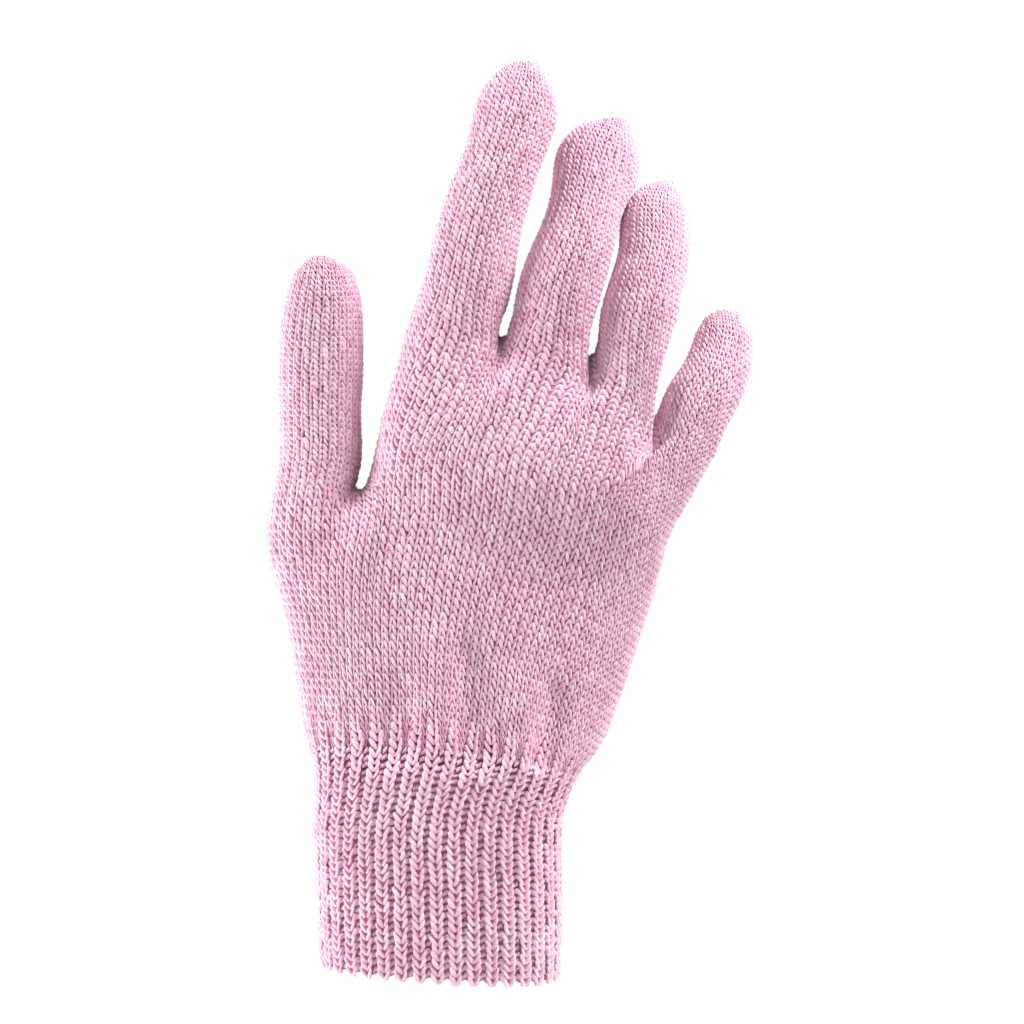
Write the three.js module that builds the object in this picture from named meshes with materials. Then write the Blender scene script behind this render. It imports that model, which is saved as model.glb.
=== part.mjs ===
// A knitted glove for a right hand, kept in its worn shape: the back of the hand is in front, the thumb on the left.
// Millimetres, +Z up the hand, +Y from the back of the hand to the palm, the origin in the middle of the wrist opening.
import * as THREE from 'three';

// Sizes of the cloth and of its joins
const WALL = 1.7;
const JOIN_GAP = 0.3;
const KNIT_COLOUR = '#ddb4c8';

// The hand and the cuff meet in a level ring
const HAND_BASE = 52;
const CROSS_SECTION_POWER = 2.4;

// Ribs of the cuff
const RIB_COUNT = 38;
const RIB_RISE = 1.5;
const RIB_RISE_AT_TOP = 0.5;
const RIM_SLOPE = -0.062;
const RIM_MIDDLE = -0.2;
const RIM_SCALLOP = 0.9;
const PROFILE_SAMPLES = 720;

// How often the control points are moved so that the smooth surface meets the measured points
const FITTING_ROUNDS = 8;

// Each finger: centre line, half width and half depth of its sections from root to tip,
// then the seam that closes the tip
const FINGERS = {
  thumb: {
    sections: [
      { x: -32.6, y: 4.0, z: 120.1, halfWidth: 11.3, halfDepth: 10.8 },
      { x: -31.6, y: 6.0, z: 130.8, halfWidth: 10.8, halfDepth: 10.6 },
      { x: -31.7, y: 7.0, z: 142.5, halfWidth: 10.8, halfDepth: 10.5 },
      { x: -31.5, y: 7.0, z: 154.2, halfWidth: 11.1, halfDepth: 10.5 },
      { x: -31.1, y: 6.5, z: 164.6, halfWidth: 10.7, halfDepth: 10.0 },
      { x: -30.6, y: 5.5, z: 173.4, halfWidth: 9.7, halfDepth: 9.2 },
      { x: -30.6, y: 4.6, z: 179.8, halfWidth: 7.6, halfDepth: 6.8 },
    ],
    tip: { leftX: -34.6, leftZ: 183.4, x: -31.2, y: 4.0, z: 184.5, rightX: -26.8, rightZ: 182.8 },
  },
  index_finger: {
    sections: [
      { x: 4.3, y: 0.0, z: 165.1, halfWidth: 12.0, halfDepth: 10.4 },
      { x: 6.9, y: -0.5, z: 174.9, halfWidth: 11.5, halfDepth: 10.2 },
      { x: 9.7, y: 0.0, z: 188.7, halfWidth: 11.0, halfDepth: 10.0 },
      { x: 13.0, y: 1.0, z: 200.1, halfWidth: 10.5, halfDepth: 9.6 },
      { x: 16.0, y: 2.5, z: 208.8, halfWidth: 10.1, halfDepth: 9.2 },
      { x: 18.7, y: 4.5, z: 217.4, halfWidth: 10.6, halfDepth: 9.0 },
      { x: 20.6, y: 6.0, z: 224.6, halfWidth: 10.4, halfDepth: 8.2 },
      { x: 21.6, y: 7.6, z: 230.4, halfWidth: 7.8, halfDepth: 6.2 },
    ],
    tip: { leftX: 17.8, leftZ: 235.2, x: 22.6, y: 8.5, z: 235.9, rightX: 26.6, rightZ: 234.2 },
  },
  middle_finger: {
    sections: [
      { x: 27.4, y: 0.0, z: 159.9, halfWidth: 11.7, halfDepth: 10.6 },
      { x: 31.1, y: -0.5, z: 174.7, halfWidth: 10.7, halfDepth: 10.4 },
      { x: 35.5, y: 1.5, z: 187.8, halfWidth: 9.9, halfDepth: 9.9 },
      { x: 37.8, y: 4.5, z: 195.7, halfWidth: 9.6, halfDepth: 9.6 },
      { x: 39.6, y: 7.5, z: 202.4, halfWidth: 10.3, halfDepth: 9.3 },
      { x: 41.8, y: 11.5, z: 210.6, halfWidth: 10.9, halfDepth: 8.6 },
      { x: 43.9, y: 14.6, z: 217.0, halfWidth: 7.5, halfDepth: 6.2 },
    ],
    tip: { leftX: 40.8, leftZ: 220.4, x: 45.4, y: 17.0, z: 222.2, rightX: 49.8, rightZ: 220.8 },
  },
  ring_finger: {
    sections: [
      { x: 47.7, y: 0.5, z: 150.5, halfWidth: 9.9, halfDepth: 10.0 },
      { x: 51.1, y: 0.5, z: 165.6, halfWidth: 9.6, halfDepth: 9.8 },
      { x: 53.8, y: 3.0, z: 175.8, halfWidth: 9.5, halfDepth: 9.5 },
      { x: 56.2, y: 7.5, z: 185.8, halfWidth: 9.2, halfDepth: 9.2 },
      { x: 56.8, y: 12.0, z: 194.6, halfWidth: 8.9, halfDepth: 8.4 },
      { x: 58.1, y: 15.8, z: 200.6, halfWidth: 6.3, halfDepth: 5.8 },
    ],
    tip: { leftX: 54.8, leftZ: 203.8, x: 58.6, y: 18.5, z: 205.2, rightX: 62.0, rightZ: 204.2 },
  },
  little_finger: {
    sections: [
      { x: 63.3, y: 1.0, z: 137.0, halfWidth: 9.4, halfDepth: 9.0 },
      { x: 67.2, y: 1.5, z: 144.8, halfWidth: 9.1, halfDepth: 8.8 },
      { x: 71.4, y: 4.0, z: 151.8, halfWidth: 8.8, halfDepth: 8.5 },
      { x: 74.1, y: 8.0, z: 159.1, halfWidth: 8.1, halfDepth: 8.0 },
      { x: 74.9, y: 11.0, z: 163.6, halfWidth: 7.3, halfDepth: 7.2 },
    ],
    tip: { leftX: 70.3, leftZ: 168.6, x: 75.4, y: 14.0, z: 170.6, rightX: 79.8, rightZ: 168.4 },
  },
};

// The cloth between two fingers: its front corner, its saddle and its back corner, and half the width between them
const WEBS = {
  thumb: { frontX: -22.8, frontY: -4.0, frontZ: 121.2, topX: -20.7, topY: 3.0, topZ: 124.0,
    backX: -22.0, backY: 9.0, backZ: 122.5, halfWidth: 1.4 },
  index_finger: { frontX: 16.0, frontY: -6.0, frontZ: 159.6, topX: 16.5, topY: 0.5, topZ: 164.3,
    backX: 16.2, backY: 7.0, backZ: 162.5, halfWidth: 1.6 },
  middle_finger: { frontX: 39.6, frontY: -6.0, frontZ: 151.8, topX: 39.2, topY: 0.5, topZ: 159.1,
    backX: 39.2, backY: 7.0, backZ: 157.3, halfWidth: 1.6 },
  ring_finger: { frontX: 56.3, frontY: -5.5, frontZ: 136.0, topX: 55.0, topY: 0.5, topZ: 142.7,
    backX: 55.5, backY: 6.5, backZ: 140.1, halfWidth: 1.6 },
};

// Rows around the hand from the cuff up: heights and edges in front view, depth in front and behind,
// how far the thumb side sits back, and how far the columns have spread towards the finger roots
const LOWER_ROWS = [
  { leftX: -32.3, leftZ: 52.0, midZ: 52.0, rightX: 38.0, rightZ: 52.0, front: 20.5, back: 20.5, thumbBack: 0.0, spread: 0.0 },
  { leftX: -35.1, leftZ: 60.3, midZ: 62.7, rightX: 42.2, rightZ: 57.5, front: 18.0, back: 20.0, thumbBack: 0.5, spread: 0.1 },
  { leftX: -37.3, leftZ: 72.0, midZ: 74.9, rightX: 46.1, rightZ: 66.6, front: 16.5, back: 20.0, thumbBack: 1.5, spread: 0.3 },
  { leftX: -39.6, leftZ: 85.8, midZ: 88.7, rightX: 50.1, rightZ: 78.3, front: 15.5, back: 20.0, thumbBack: 2.5, spread: 0.55 },
  { leftX: -42.7, leftZ: 98.0, midZ: 102.2, rightX: 53.4, rightZ: 88.7, front: 15.0, back: 20.0, thumbBack: 3.5, spread: 0.8 },
  { leftX: -45.4, leftZ: 108.7, midZ: 115.2, rightX: 56.6, rightZ: 99.1, front: 14.5, back: 19.0, thumbBack: 4.0, spread: 1.0 },
];
const THUMB_LEVEL_ROW = {
  leftX: -19.3, leftZ: 124.5, midZ: 128.2, rightX: 59.6, rightZ: 111.0, front: 14.0, back: 15.0, thumbBack: 2.0,
};
// Rows between the thumb level and the finger roots, as a share of that way
const UPPER_ROW_SHARES = [0.38, 0.72];
const PIT_SHARPNESS = 3;

// Where the columns run, from -1 at the thumb side to 1 at the little finger side
const WRIST_FIRST_ANGLE = 18;
const THUMB_COLUMNS = [-0.92, -0.76, -0.6];
const FINGER_COLUMNS = [-0.9, -0.72, -0.5, -0.34, -0.13, 0.1, 0.22, 0.4, 0.52, 0.63, 0.78, 0.93];

// Soft folds over the front of the hand above the cuff: a line, its half width and how far it rises or sinks
const FOLDS = [
  { fromX: -10.5, fromZ: 57, toX: -10.0, toZ: 73, halfWidth: 4.0, rise: -0.9 },
  { fromX: 2.5, fromZ: 60, toX: 2.0, toZ: 80, halfWidth: 4.2, rise: 0.9 },
  { fromX: 8.0, fromZ: 56, toX: 8.0, toZ: 71, halfWidth: 3.2, rise: -1.1 },
  { fromX: 24.0, fromZ: 57, toX: 25.0, toZ: 69, halfWidth: 3.6, rise: 1.0 },
  { fromX: 26.5, fromZ: 54, toX: 31.0, toZ: 71, halfWidth: 3.0, rise: -1.1 },
];

// Sections of the cuff from the hand down
const CUFF_SECTIONS = [
  { z: 52.0, leftX: -32.3, rightX: 38.0, halfDepth: 20.5 },
  { z: 45.8, leftX: -31.9, rightX: 34.0, halfDepth: 20.4 },
  { z: 41.0, leftX: -32.0, rightX: 32.0, halfDepth: 20.6 },
  { z: 34.0, leftX: -32.4, rightX: 31.2, halfDepth: 21.0 },
  { z: 18.0, leftX: -31.6, rightX: 31.4, halfDepth: 21.8 },
  { z: 5.0, leftX: -31.0, rightX: 31.3, halfDepth: 22.2 },
];
const CUFF_INNER_SECTIONS = [0, 2, 4];
const CUFF_RIM = { leftX: -30.5, rightX: 30.9, halfDepth: 22.0 };
// One rib, as shares of its width, with the height of each point
const RIB_POINTS = [
  { share: -0.17, height: 0.5 },
  { share: 0.17, height: 0.5 },
  { share: 0.4, height: -0.5 },
  { share: 0.6, height: -0.5 },
];

// The eight points of a finger ring, seen from the tip, starting at the front left
const RING_SPOTS = [
  { name: 'frontLeft', across: -0.73, depth: -0.73 },
  { name: 'front', across: 0, depth: -1 },
  { name: 'frontRight', across: 0.73, depth: -0.73 },
  { name: 'right', across: 1, depth: 0 },
  { name: 'backRight', across: 0.73, depth: 0.73 },
  { name: 'back', across: 0, depth: 1 },
  { name: 'backLeft', across: -0.73, depth: 0.73 },
  { name: 'left', across: -1, depth: 0 },
];
const FRONT_SPOTS = ['frontLeft', 'front', 'frontRight'];
const BACK_SPOTS = ['backRight', 'back', 'backLeft'];
const UPPER_FINGERS = ['index_finger', 'middle_finger', 'ring_finger', 'little_finger'];

const mix = (a, b, share) => a + (b - a) * share;

// The control mesh: points where the cloth should pass, and four-sided faces labelled with their piece
const control = { points: [], faces: [], labels: [] };

function addPoint(x, y, z) {
  control.points.push(new THREE.Vector3(x, y, z));
  return control.points.length - 1;
}

function addFace(label, ...corners) {
  control.faces.push(corners);
  control.labels.push(label);
}

// Faces between a ring and the ring above it
function addBand(label, lower, upper) {
  lower.forEach((corner, i) => {
    const next = (i + 1) % lower.length;
    addFace(label, corner, lower[next], upper[next], upper[i]);
  });
}

// The eight named points of one finger section, square to the finger's run
function fingerRing(sections, index) {
  const section = sections[index];
  const before = sections[Math.max(index - 1, 0)];
  const after = sections[Math.min(index + 1, sections.length - 1)];
  const run = new THREE.Vector3(after.x - before.x, after.y - before.y, after.z - before.z).normalize();
  const depthWay = new THREE.Vector3(0, 1, 0).addScaledVector(run, -run.y).normalize();
  const acrossWay = new THREE.Vector3().crossVectors(depthWay, run);
  const ring = {};
  for (const spot of RING_SPOTS) {
    const point = new THREE.Vector3(section.x, section.y, section.z)
      .addScaledVector(acrossWay, spot.across * section.halfWidth)
      .addScaledVector(depthWay, spot.depth * section.halfDepth);
    ring[spot.name] = addPoint(point.x, point.y, point.z);
  }
  return ring;
}

const inOrder = (ring) => RING_SPOTS.map((spot) => ring[spot.name]);

// A finger above its root ring, closed along the seam at its tip
function addFinger(name) {
  const { sections, tip } = FINGERS[name];
  const rings = sections.map((section, index) => fingerRing(sections, index));
  for (let i = 1; i < rings.length; i += 1) {
    addBand(name, inOrder(rings[i - 1]), inOrder(rings[i]));
  }
  const last = rings[rings.length - 1];
  const left = addPoint(tip.leftX, tip.y, tip.leftZ);
  const middle = addPoint(tip.x, tip.y, tip.z);
  const right = addPoint(tip.rightX, tip.y, tip.rightZ);
  addFace(name, last.frontLeft, last.front, middle, left);
  addFace(name, last.front, last.frontRight, right, middle);
  addFace(name, last.frontRight, last.right, last.backRight, right);
  addFace(name, last.backRight, last.back, middle, right);
  addFace(name, last.back, last.backLeft, left, middle);
  addFace(name, last.backLeft, last.left, last.frontLeft, left);
  return rings[0];
}

// Moves the root points next to a web onto its corners and its saddle
function placeWebSide(web, ring, side, sign) {
  const shift = sign * web.halfWidth;
  control.points[ring[`front${side}`]].set(web.frontX + shift, web.frontY, web.frontZ);
  control.points[ring[side.toLowerCase()]].set(web.topX + shift, web.topY, web.topZ);
  control.points[ring[`back${side}`]].set(web.backX + shift, web.backY, web.backZ);
}

function addWeb(leftRing, rightRing) {
  addFace('hand', leftRing.frontRight, rightRing.frontLeft, rightRing.left, leftRing.right);
  addFace('hand', leftRing.right, rightRing.left, rightRing.backLeft, leftRing.backRight);
}

// A point of a row around the hand; side is -1 in front and 1 behind
function handPoint(row, across, side) {
  const middleOfSides = (row.leftZ + row.rightZ) / 2;
  const x = mix(row.leftX, row.rightX, (across + 1) / 2);
  const z = row.midZ + (row.rightZ - row.leftZ) / 2 * across + (middleOfSides - row.midZ) * across ** 2;
  const roundness = (1 - Math.abs(across) ** CROSS_SECTION_POWER) ** (1 / CROSS_SECTION_POWER);
  const depth = side < 0 ? row.front : row.back;
  const centre = row.thumbBack * Math.max(0, -across);
  return addPoint(x, centre + side * depth * roundness, z);
}

// A whole row: the front columns, the outer side, the back columns in reverse, and the thumb side
function handRow(row, columns) {
  const front = columns.map((across) => handPoint(row, across, -1));
  const back = columns.map((across) => handPoint(row, across, 1)).reverse();
  return [...front, handPoint(row, 1, 1), ...back, handPoint(row, -1, 1)];
}

function wristColumns() {
  const count = THUMB_COLUMNS.length + FINGER_COLUMNS.length;
  const step = (180 - 2 * WRIST_FIRST_ANGLE) / (count - 1);
  return Array.from({ length: count }, (_, i) =>
    -Math.cos(THREE.MathUtils.degToRad(WRIST_FIRST_ANGLE + i * step)));
}

// Columns of the row just under the thumb, where the fingers' columns share what the thumb leaves
function thumbLevelColumns() {
  const top = LOWER_ROWS[LOWER_ROWS.length - 1];
  const start = (THUMB_LEVEL_ROW.leftX - top.leftX) / (top.rightX - top.leftX) * 2 - 1;
  return [...THUMB_COLUMNS, ...FINGER_COLUMNS.map((across) => mix(start, 1, (across + 1) / 2))];
}

function addHand(roots) {
  const wrist = wristColumns();
  const thumbLevel = thumbLevelColumns();
  const rows = LOWER_ROWS.map((row) => {
    const columns = wrist.map((across, i) => mix(across, thumbLevel[i], row.spread));
    return handRow(row, columns);
  });
  for (let i = 1; i < rows.length; i += 1) {
    addBand('hand', rows[i - 1], rows[i]);
  }

  // The row at the thumb's level, where the lower rows split into the thumb and the rest
  const thumb = roots.thumb;
  const level = handRow(THUMB_LEVEL_ROW, FINGER_COLUMNS);
  const levelFront = level.slice(0, FINGER_COLUMNS.length + 1);
  const levelBack = level.slice(FINGER_COLUMNS.length + 1, -1);
  const thumbFront = FRONT_SPOTS.map((spot) => thumb[spot]);
  const thumbBack = BACK_SPOTS.map((spot) => thumb[spot]);
  const above = [...thumbFront, ...levelFront, ...levelBack, ...thumbBack, thumb.left];
  addBand('hand', rows[rows.length - 1], above);
  const levelSide = { frontLeft: level[0], left: level[level.length - 1], backLeft: level[level.length - 2] };
  addWeb(thumb, levelSide);

  // From the thumb's level to the finger roots
  const rootRow = [
    ...UPPER_FINGERS.flatMap((name) => FRONT_SPOTS.map((spot) => roots[name][spot])),
    roots.little_finger.right,
    ...[...UPPER_FINGERS].reverse().flatMap((name) => BACK_SPOTS.map((spot) => roots[name][spot])),
    roots.index_finger.left,
  ];
  const webPoints = new Set(UPPER_FINGERS.flatMap((name) => [
    roots[name].frontLeft, roots[name].frontRight, roots[name].backLeft, roots[name].backRight]));
  let below = level;
  for (const share of UPPER_ROW_SHARES) {
    const row = level.map((start, i) => {
      const from = control.points[start];
      const to = control.points[rootRow[i]];
      const depthShare = webPoints.has(rootRow[i]) ? share ** PIT_SHARPNESS : share;
      return addPoint(mix(from.x, to.x, share), mix(from.y, to.y, depthShare), mix(from.z, to.z, share));
    });
    addBand('hand', below, row);
    below = row;
  }
  addBand('hand', below, rootRow);
  for (let i = 1; i < UPPER_FINGERS.length; i += 1) {
    addWeb(roots[UPPER_FINGERS[i - 1]], roots[UPPER_FINGERS[i]]);
  }
}

// Neighbours along edges, across faces and along the open border, for every point of a four-sided mesh
function neighbours(mesh) {
  const rings = mesh.points.map(() => ({ edges: new Set(), diagonals: [], border: [] }));
  const uses = new Map();
  for (const face of mesh.faces) {
    face.forEach((corner, i) => {
      const next = face[(i + 1) % 4];
      rings[corner].edges.add(next);
      rings[next].edges.add(corner);
      rings[corner].diagonals.push(face[(i + 2) % 4]);
      const key = `${Math.min(corner, next)}_${Math.max(corner, next)}`;
      uses.set(key, { corner, next, count: (uses.get(key)?.count ?? 0) + 1 });
    });
  }
  for (const { corner, next, count } of uses.values()) {
    if (count === 1) {
      rings[corner].border.push(next);
      rings[next].border.push(corner);
    }
  }
  return rings;
}

// Where the smooth surface passes for each point of the mesh
function smoothPoints(mesh, rings) {
  return mesh.points.map((point, i) => {
    const { edges, diagonals, border } = rings[i];
    const result = new THREE.Vector3();
    if (border.length === 2) {
      border.forEach((other) => result.add(mesh.points[other]));
      return result.addScaledVector(point, 4).divideScalar(6);
    }
    const valence = edges.size;
    edges.forEach((other) => result.addScaledVector(mesh.points[other], 4));
    diagonals.forEach((other) => result.add(mesh.points[other]));
    return result.addScaledVector(point, valence ** 2).divideScalar(valence * (valence + 5));
  });
}

// Moves the control points until the smooth surface passes through the measured ones
function fitControl(mesh) {
  const rings = neighbours(mesh);
  const targets = mesh.points.map((point) => point.clone());
  for (let round = 0; round < FITTING_ROUNDS; round += 1) {
    const reached = smoothPoints(mesh, rings);
    mesh.points.forEach((point, i) => point.add(targets[i]).sub(reached[i]));
  }
}

// Splits each four-sided face into four, smoothing the mesh
function subdivide(mesh) {
  const rings = neighbours(mesh);
  const points = mesh.points.map(() => new THREE.Vector3());
  const faceCentres = mesh.faces.map((face) => {
    const centre = new THREE.Vector3();
    face.forEach((corner) => centre.addScaledVector(mesh.points[corner], 0.25));
    return centre;
  });
  const edges = new Map();
  mesh.faces.forEach((face, f) => face.forEach((corner, i) => {
    const next = face[(i + 1) % 4];
    const key = `${Math.min(corner, next)}_${Math.max(corner, next)}`;
    if (!edges.has(key)) {
      edges.set(key, { ends: [corner, next], centres: [] });
    }
    edges.get(key).centres.push(faceCentres[f]);
  }));
  for (const edge of edges.values()) {
    const place = new THREE.Vector3().addVectors(mesh.points[edge.ends[0]], mesh.points[edge.ends[1]]);
    if (edge.centres.length === 2) {
      place.add(edge.centres[0]).add(edge.centres[1]).multiplyScalar(0.25);
    } else {
      place.multiplyScalar(0.5);
    }
    edge.index = points.push(place) - 1;
  }
  const centreSums = mesh.points.map(() => new THREE.Vector3());
  mesh.faces.forEach((face, f) => face.forEach((corner) => centreSums[corner].add(faceCentres[f])));
  mesh.points.forEach((point, i) => {
    const { edges: near, border } = rings[i];
    if (border.length === 2) {
      border.forEach((other) => points[i].add(mesh.points[other]));
      points[i].addScaledVector(point, 6).divideScalar(8);
      return;
    }
    const valence = near.size;
    const middles = new THREE.Vector3();
    near.forEach((other) => middles.add(mesh.points[other]).add(point));
    points[i].copy(centreSums[i]).divideScalar(valence)
      .addScaledVector(middles, 1 / valence)
      .addScaledVector(point, valence - 3)
      .divideScalar(valence);
  });
  const faces = [];
  const labels = [];
  mesh.faces.forEach((face, f) => {
    const centre = points.push(faceCentres[f]) - 1;
    const sides = face.map((corner, i) => {
      const next = face[(i + 1) % 4];
      return edges.get(`${Math.min(corner, next)}_${Math.max(corner, next)}`).index;
    });
    face.forEach((corner, i) => {
      faces.push([corner, sides[i], centre, sides[(i + 3) % 4]]);
      labels.push(mesh.labels[f]);
    });
  });
  return { points, faces, labels };
}

// Outward directions at the points; along the open wrist they are level, so that its rim stays flat
function pointNormals(mesh) {
  const rings = neighbours(mesh);
  const normals = mesh.points.map(() => new THREE.Vector3());
  const first = new THREE.Vector3();
  const second = new THREE.Vector3();
  for (const [a, b, c, d] of mesh.faces) {
    first.subVectors(mesh.points[c], mesh.points[a]);
    second.subVectors(mesh.points[d], mesh.points[b]);
    first.cross(second);
    [a, b, c, d].forEach((corner) => normals[corner].add(first));
  }
  rings.forEach(({ border }, i) => {
    if (border.length === 2) {
      normals[i].z = 0;
    }
  });
  return normals.map((normal) => normal.normalize());
}

// How far the folds move a point of the hand's front
function foldRise(point) {
  let rise = 0;
  for (const fold of FOLDS) {
    const run = new THREE.Vector2(fold.toX - fold.fromX, fold.toZ - fold.fromZ);
    const from = new THREE.Vector2(point.x - fold.fromX, point.z - fold.fromZ);
    const along = THREE.MathUtils.clamp(from.dot(run) / run.lengthSq(), 0, 1);
    const distance = from.addScaledVector(run, -along).length();
    rise += fold.rise * Math.exp(-((distance / fold.halfWidth) ** 2));
  }
  return rise;
}

function makePiece(name, corners, triangles) {
  const geometry = new THREE.BufferGeometry();
  geometry.setAttribute('position', new THREE.Float32BufferAttribute(corners.flatMap((p) => [p.x, p.y, p.z]), 3));
  geometry.setIndex(triangles.flat());
  geometry.computeVertexNormals();
  const material = new THREE.MeshStandardMaterial({ color: KNIT_COLOUR, roughness: 0.95, metalness: 0 });
  const piece = new THREE.Mesh(geometry, material);
  piece.name = name;
  return piece;
}

// The cloth of one piece: its outer side, its inner side one wall deeper, and the rims along its open borders
function clothPiece(name, mesh, normals) {
  const faces = mesh.faces.filter((face, f) => mesh.labels[f] === name);
  const used = [...new Set(faces.flat())];
  const place = new Map(used.map((corner, i) => [corner, i]));
  const outer = used.map((corner) => mesh.points[corner].clone());
  const directed = new Set(faces.flatMap((face) => face.map((corner, i) => `${corner}_${face[(i + 1) % 4]}`)));
  const border = faces.flatMap((face) => face
    .map((corner, i) => [corner, face[(i + 1) % 4]])
    .filter(([corner, next]) => !directed.has(`${next}_${corner}`)));

  // The borders draw back from the neighbouring piece
  const drawn = new Map();
  for (const [from, to] of border) {
    const run = new THREE.Vector3().subVectors(mesh.points[to], mesh.points[from]).normalize();
    for (const corner of [from, to]) {
      const inward = new THREE.Vector3().crossVectors(normals[corner], run);
      drawn.set(corner, (drawn.get(corner) ?? new THREE.Vector3()).add(inward));
    }
  }
  drawn.forEach((inward, corner) => outer[place.get(corner)].addScaledVector(inward.normalize(), JOIN_GAP / 2));

  const inner = used.map((corner, i) => outer[i].clone().addScaledVector(normals[corner], -WALL));
  const depth = outer.length;
  const triangles = [];
  for (const face of faces) {
    const [a, b, c, d] = face.map((corner) => place.get(corner));
    triangles.push([a, b, c], [a, c, d]);
    triangles.push([c + depth, b + depth, a + depth], [d + depth, c + depth, a + depth]);
  }
  // A rim face is split the same way on both sides of a join, so that twisted rims stay clear of each other
  for (const [from, to] of border) {
    const a = place.get(from);
    const b = place.get(to);
    if (from < to) {
      triangles.push([b, a, a + depth], [b, a + depth, b + depth]);
    } else {
      triangles.push([b, a, b + depth], [a, a + depth, b + depth]);
    }
  }
  return makePiece(name, [...outer, ...inner], triangles);
}

// Points spread evenly around a cuff section; start 0 is the middle of the front
function evenProfile(section, shares, grow) {
  const halfWidth = (section.rightX - section.leftX) / 2 + grow;
  const halfDepth = section.halfDepth + grow;
  const centre = (section.rightX + section.leftX) / 2;
  const power = 2 / CROSS_SECTION_POWER;
  const at = (turn) => new THREE.Vector2(
    halfWidth * Math.sign(Math.sin(turn)) * Math.abs(Math.sin(turn)) ** power,
    -halfDepth * Math.sign(Math.cos(turn)) * Math.abs(Math.cos(turn)) ** power);
  const lengths = [0];
  for (let i = 1; i <= PROFILE_SAMPLES; i += 1) {
    const step = at(i / PROFILE_SAMPLES * 2 * Math.PI).distanceTo(at((i - 1) / PROFILE_SAMPLES * 2 * Math.PI));
    lengths.push(lengths[i - 1] + step);
  }
  return shares.map((share) => {
    const wanted = (share - Math.floor(share)) * lengths[PROFILE_SAMPLES];
    const after = Math.max(1, lengths.findIndex((length) => length >= wanted));
    const part = (wanted - lengths[after - 1]) / (lengths[after] - lengths[after - 1]);
    const place = at((after - 1 + part) / PROFILE_SAMPLES * 2 * Math.PI);
    return new THREE.Vector3(place.x + centre, place.y, 0);
  });
}

// One ring of the ribbed outer side; the two inner points of each rib lie behind its first and third point
function cuffRing(section, rise, height) {
  const shares = [];
  const heights = [];
  for (let rib = 0; rib < RIB_COUNT; rib += 1) {
    for (const point of RIB_POINTS) {
      shares.push((rib + point.share) / RIB_COUNT);
      heights.push(point.height);
    }
  }
  const base = evenProfile(section, shares, 0);
  const raised = evenProfile(section, shares, rise);
  return base.map((point, i) => {
    const place = point.clone().lerp(raised[i], heights[i]);
    place.z = height(place, heights[i]);
    return place;
  });
}

function innerCuffRing(section, height) {
  const shares = Array.from({ length: 2 * RIB_COUNT }, (_, i) => i / 2 / RIB_COUNT);
  return evenProfile(section, shares, -WALL).map((point) => {
    point.z = height(point, 0);
    return point;
  });
}

function ribbedCuff() {
  const rimHeight = (point, ribHeight) => RIM_MIDDLE + RIM_SLOPE * point.x - RIM_SCALLOP * ribHeight;
  const level = (section) => () => (section.z === HAND_BASE ? HAND_BASE - JOIN_GAP / 2 : section.z);
  const outer = CUFF_SECTIONS.map((section) =>
    cuffRing(section, section.z === HAND_BASE ? RIB_RISE_AT_TOP : RIB_RISE, level(section)));
  outer.push(cuffRing(CUFF_RIM, RIB_RISE, rimHeight));
  const inner = CUFF_INNER_SECTIONS.map((index) => innerCuffRing(CUFF_SECTIONS[index], level(CUFF_SECTIONS[index])));
  inner.push(innerCuffRing(CUFF_RIM, rimHeight));

  const around = outer[0].length;
  const innerAround = inner[0].length;
  const innerStart = outer.length * around;
  const outerAt = (row, i) => row * around + (i % around);
  const innerAt = (row, i) => innerStart + row * innerAround + (i % innerAround);
  const triangles = [];
  for (let row = 1; row < outer.length; row += 1) {
    for (let i = 0; i < around; i += 1) {
      triangles.push([outerAt(row, i), outerAt(row, i + 1), outerAt(row - 1, i + 1)]);
      triangles.push([outerAt(row, i), outerAt(row - 1, i + 1), outerAt(row - 1, i)]);
    }
  }
  for (let row = 1; row < inner.length; row += 1) {
    for (let i = 0; i < innerAround; i += 1) {
      triangles.push([innerAt(row, i), innerAt(row - 1, i + 1), innerAt(row, i + 1)]);
      triangles.push([innerAt(row, i), innerAt(row - 1, i), innerAt(row - 1, i + 1)]);
    }
  }
  const bottom = outer.length - 1;
  const innerBottom = inner.length - 1;
  for (let i = 0; i < innerAround; i += 1) {
    triangles.push([outerAt(0, 2 * i), outerAt(0, 2 * i + 1), innerAt(0, i)]);
    triangles.push([outerAt(0, 2 * i + 1), innerAt(0, i + 1), innerAt(0, i)]);
    triangles.push([outerAt(0, 2 * i + 1), outerAt(0, 2 * i + 2), innerAt(0, i + 1)]);
    triangles.push([outerAt(bottom, 2 * i + 1), outerAt(bottom, 2 * i), innerAt(innerBottom, i)]);
    triangles.push([innerAt(innerBottom, i + 1), outerAt(bottom, 2 * i + 1), innerAt(innerBottom, i)]);
    triangles.push([outerAt(bottom, 2 * i + 2), outerAt(bottom, 2 * i + 1), innerAt(innerBottom, i + 1)]);
  }
  return makePiece('ribbed_cuff', [...outer.flat(), ...inner.flat()], triangles);
}

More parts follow.
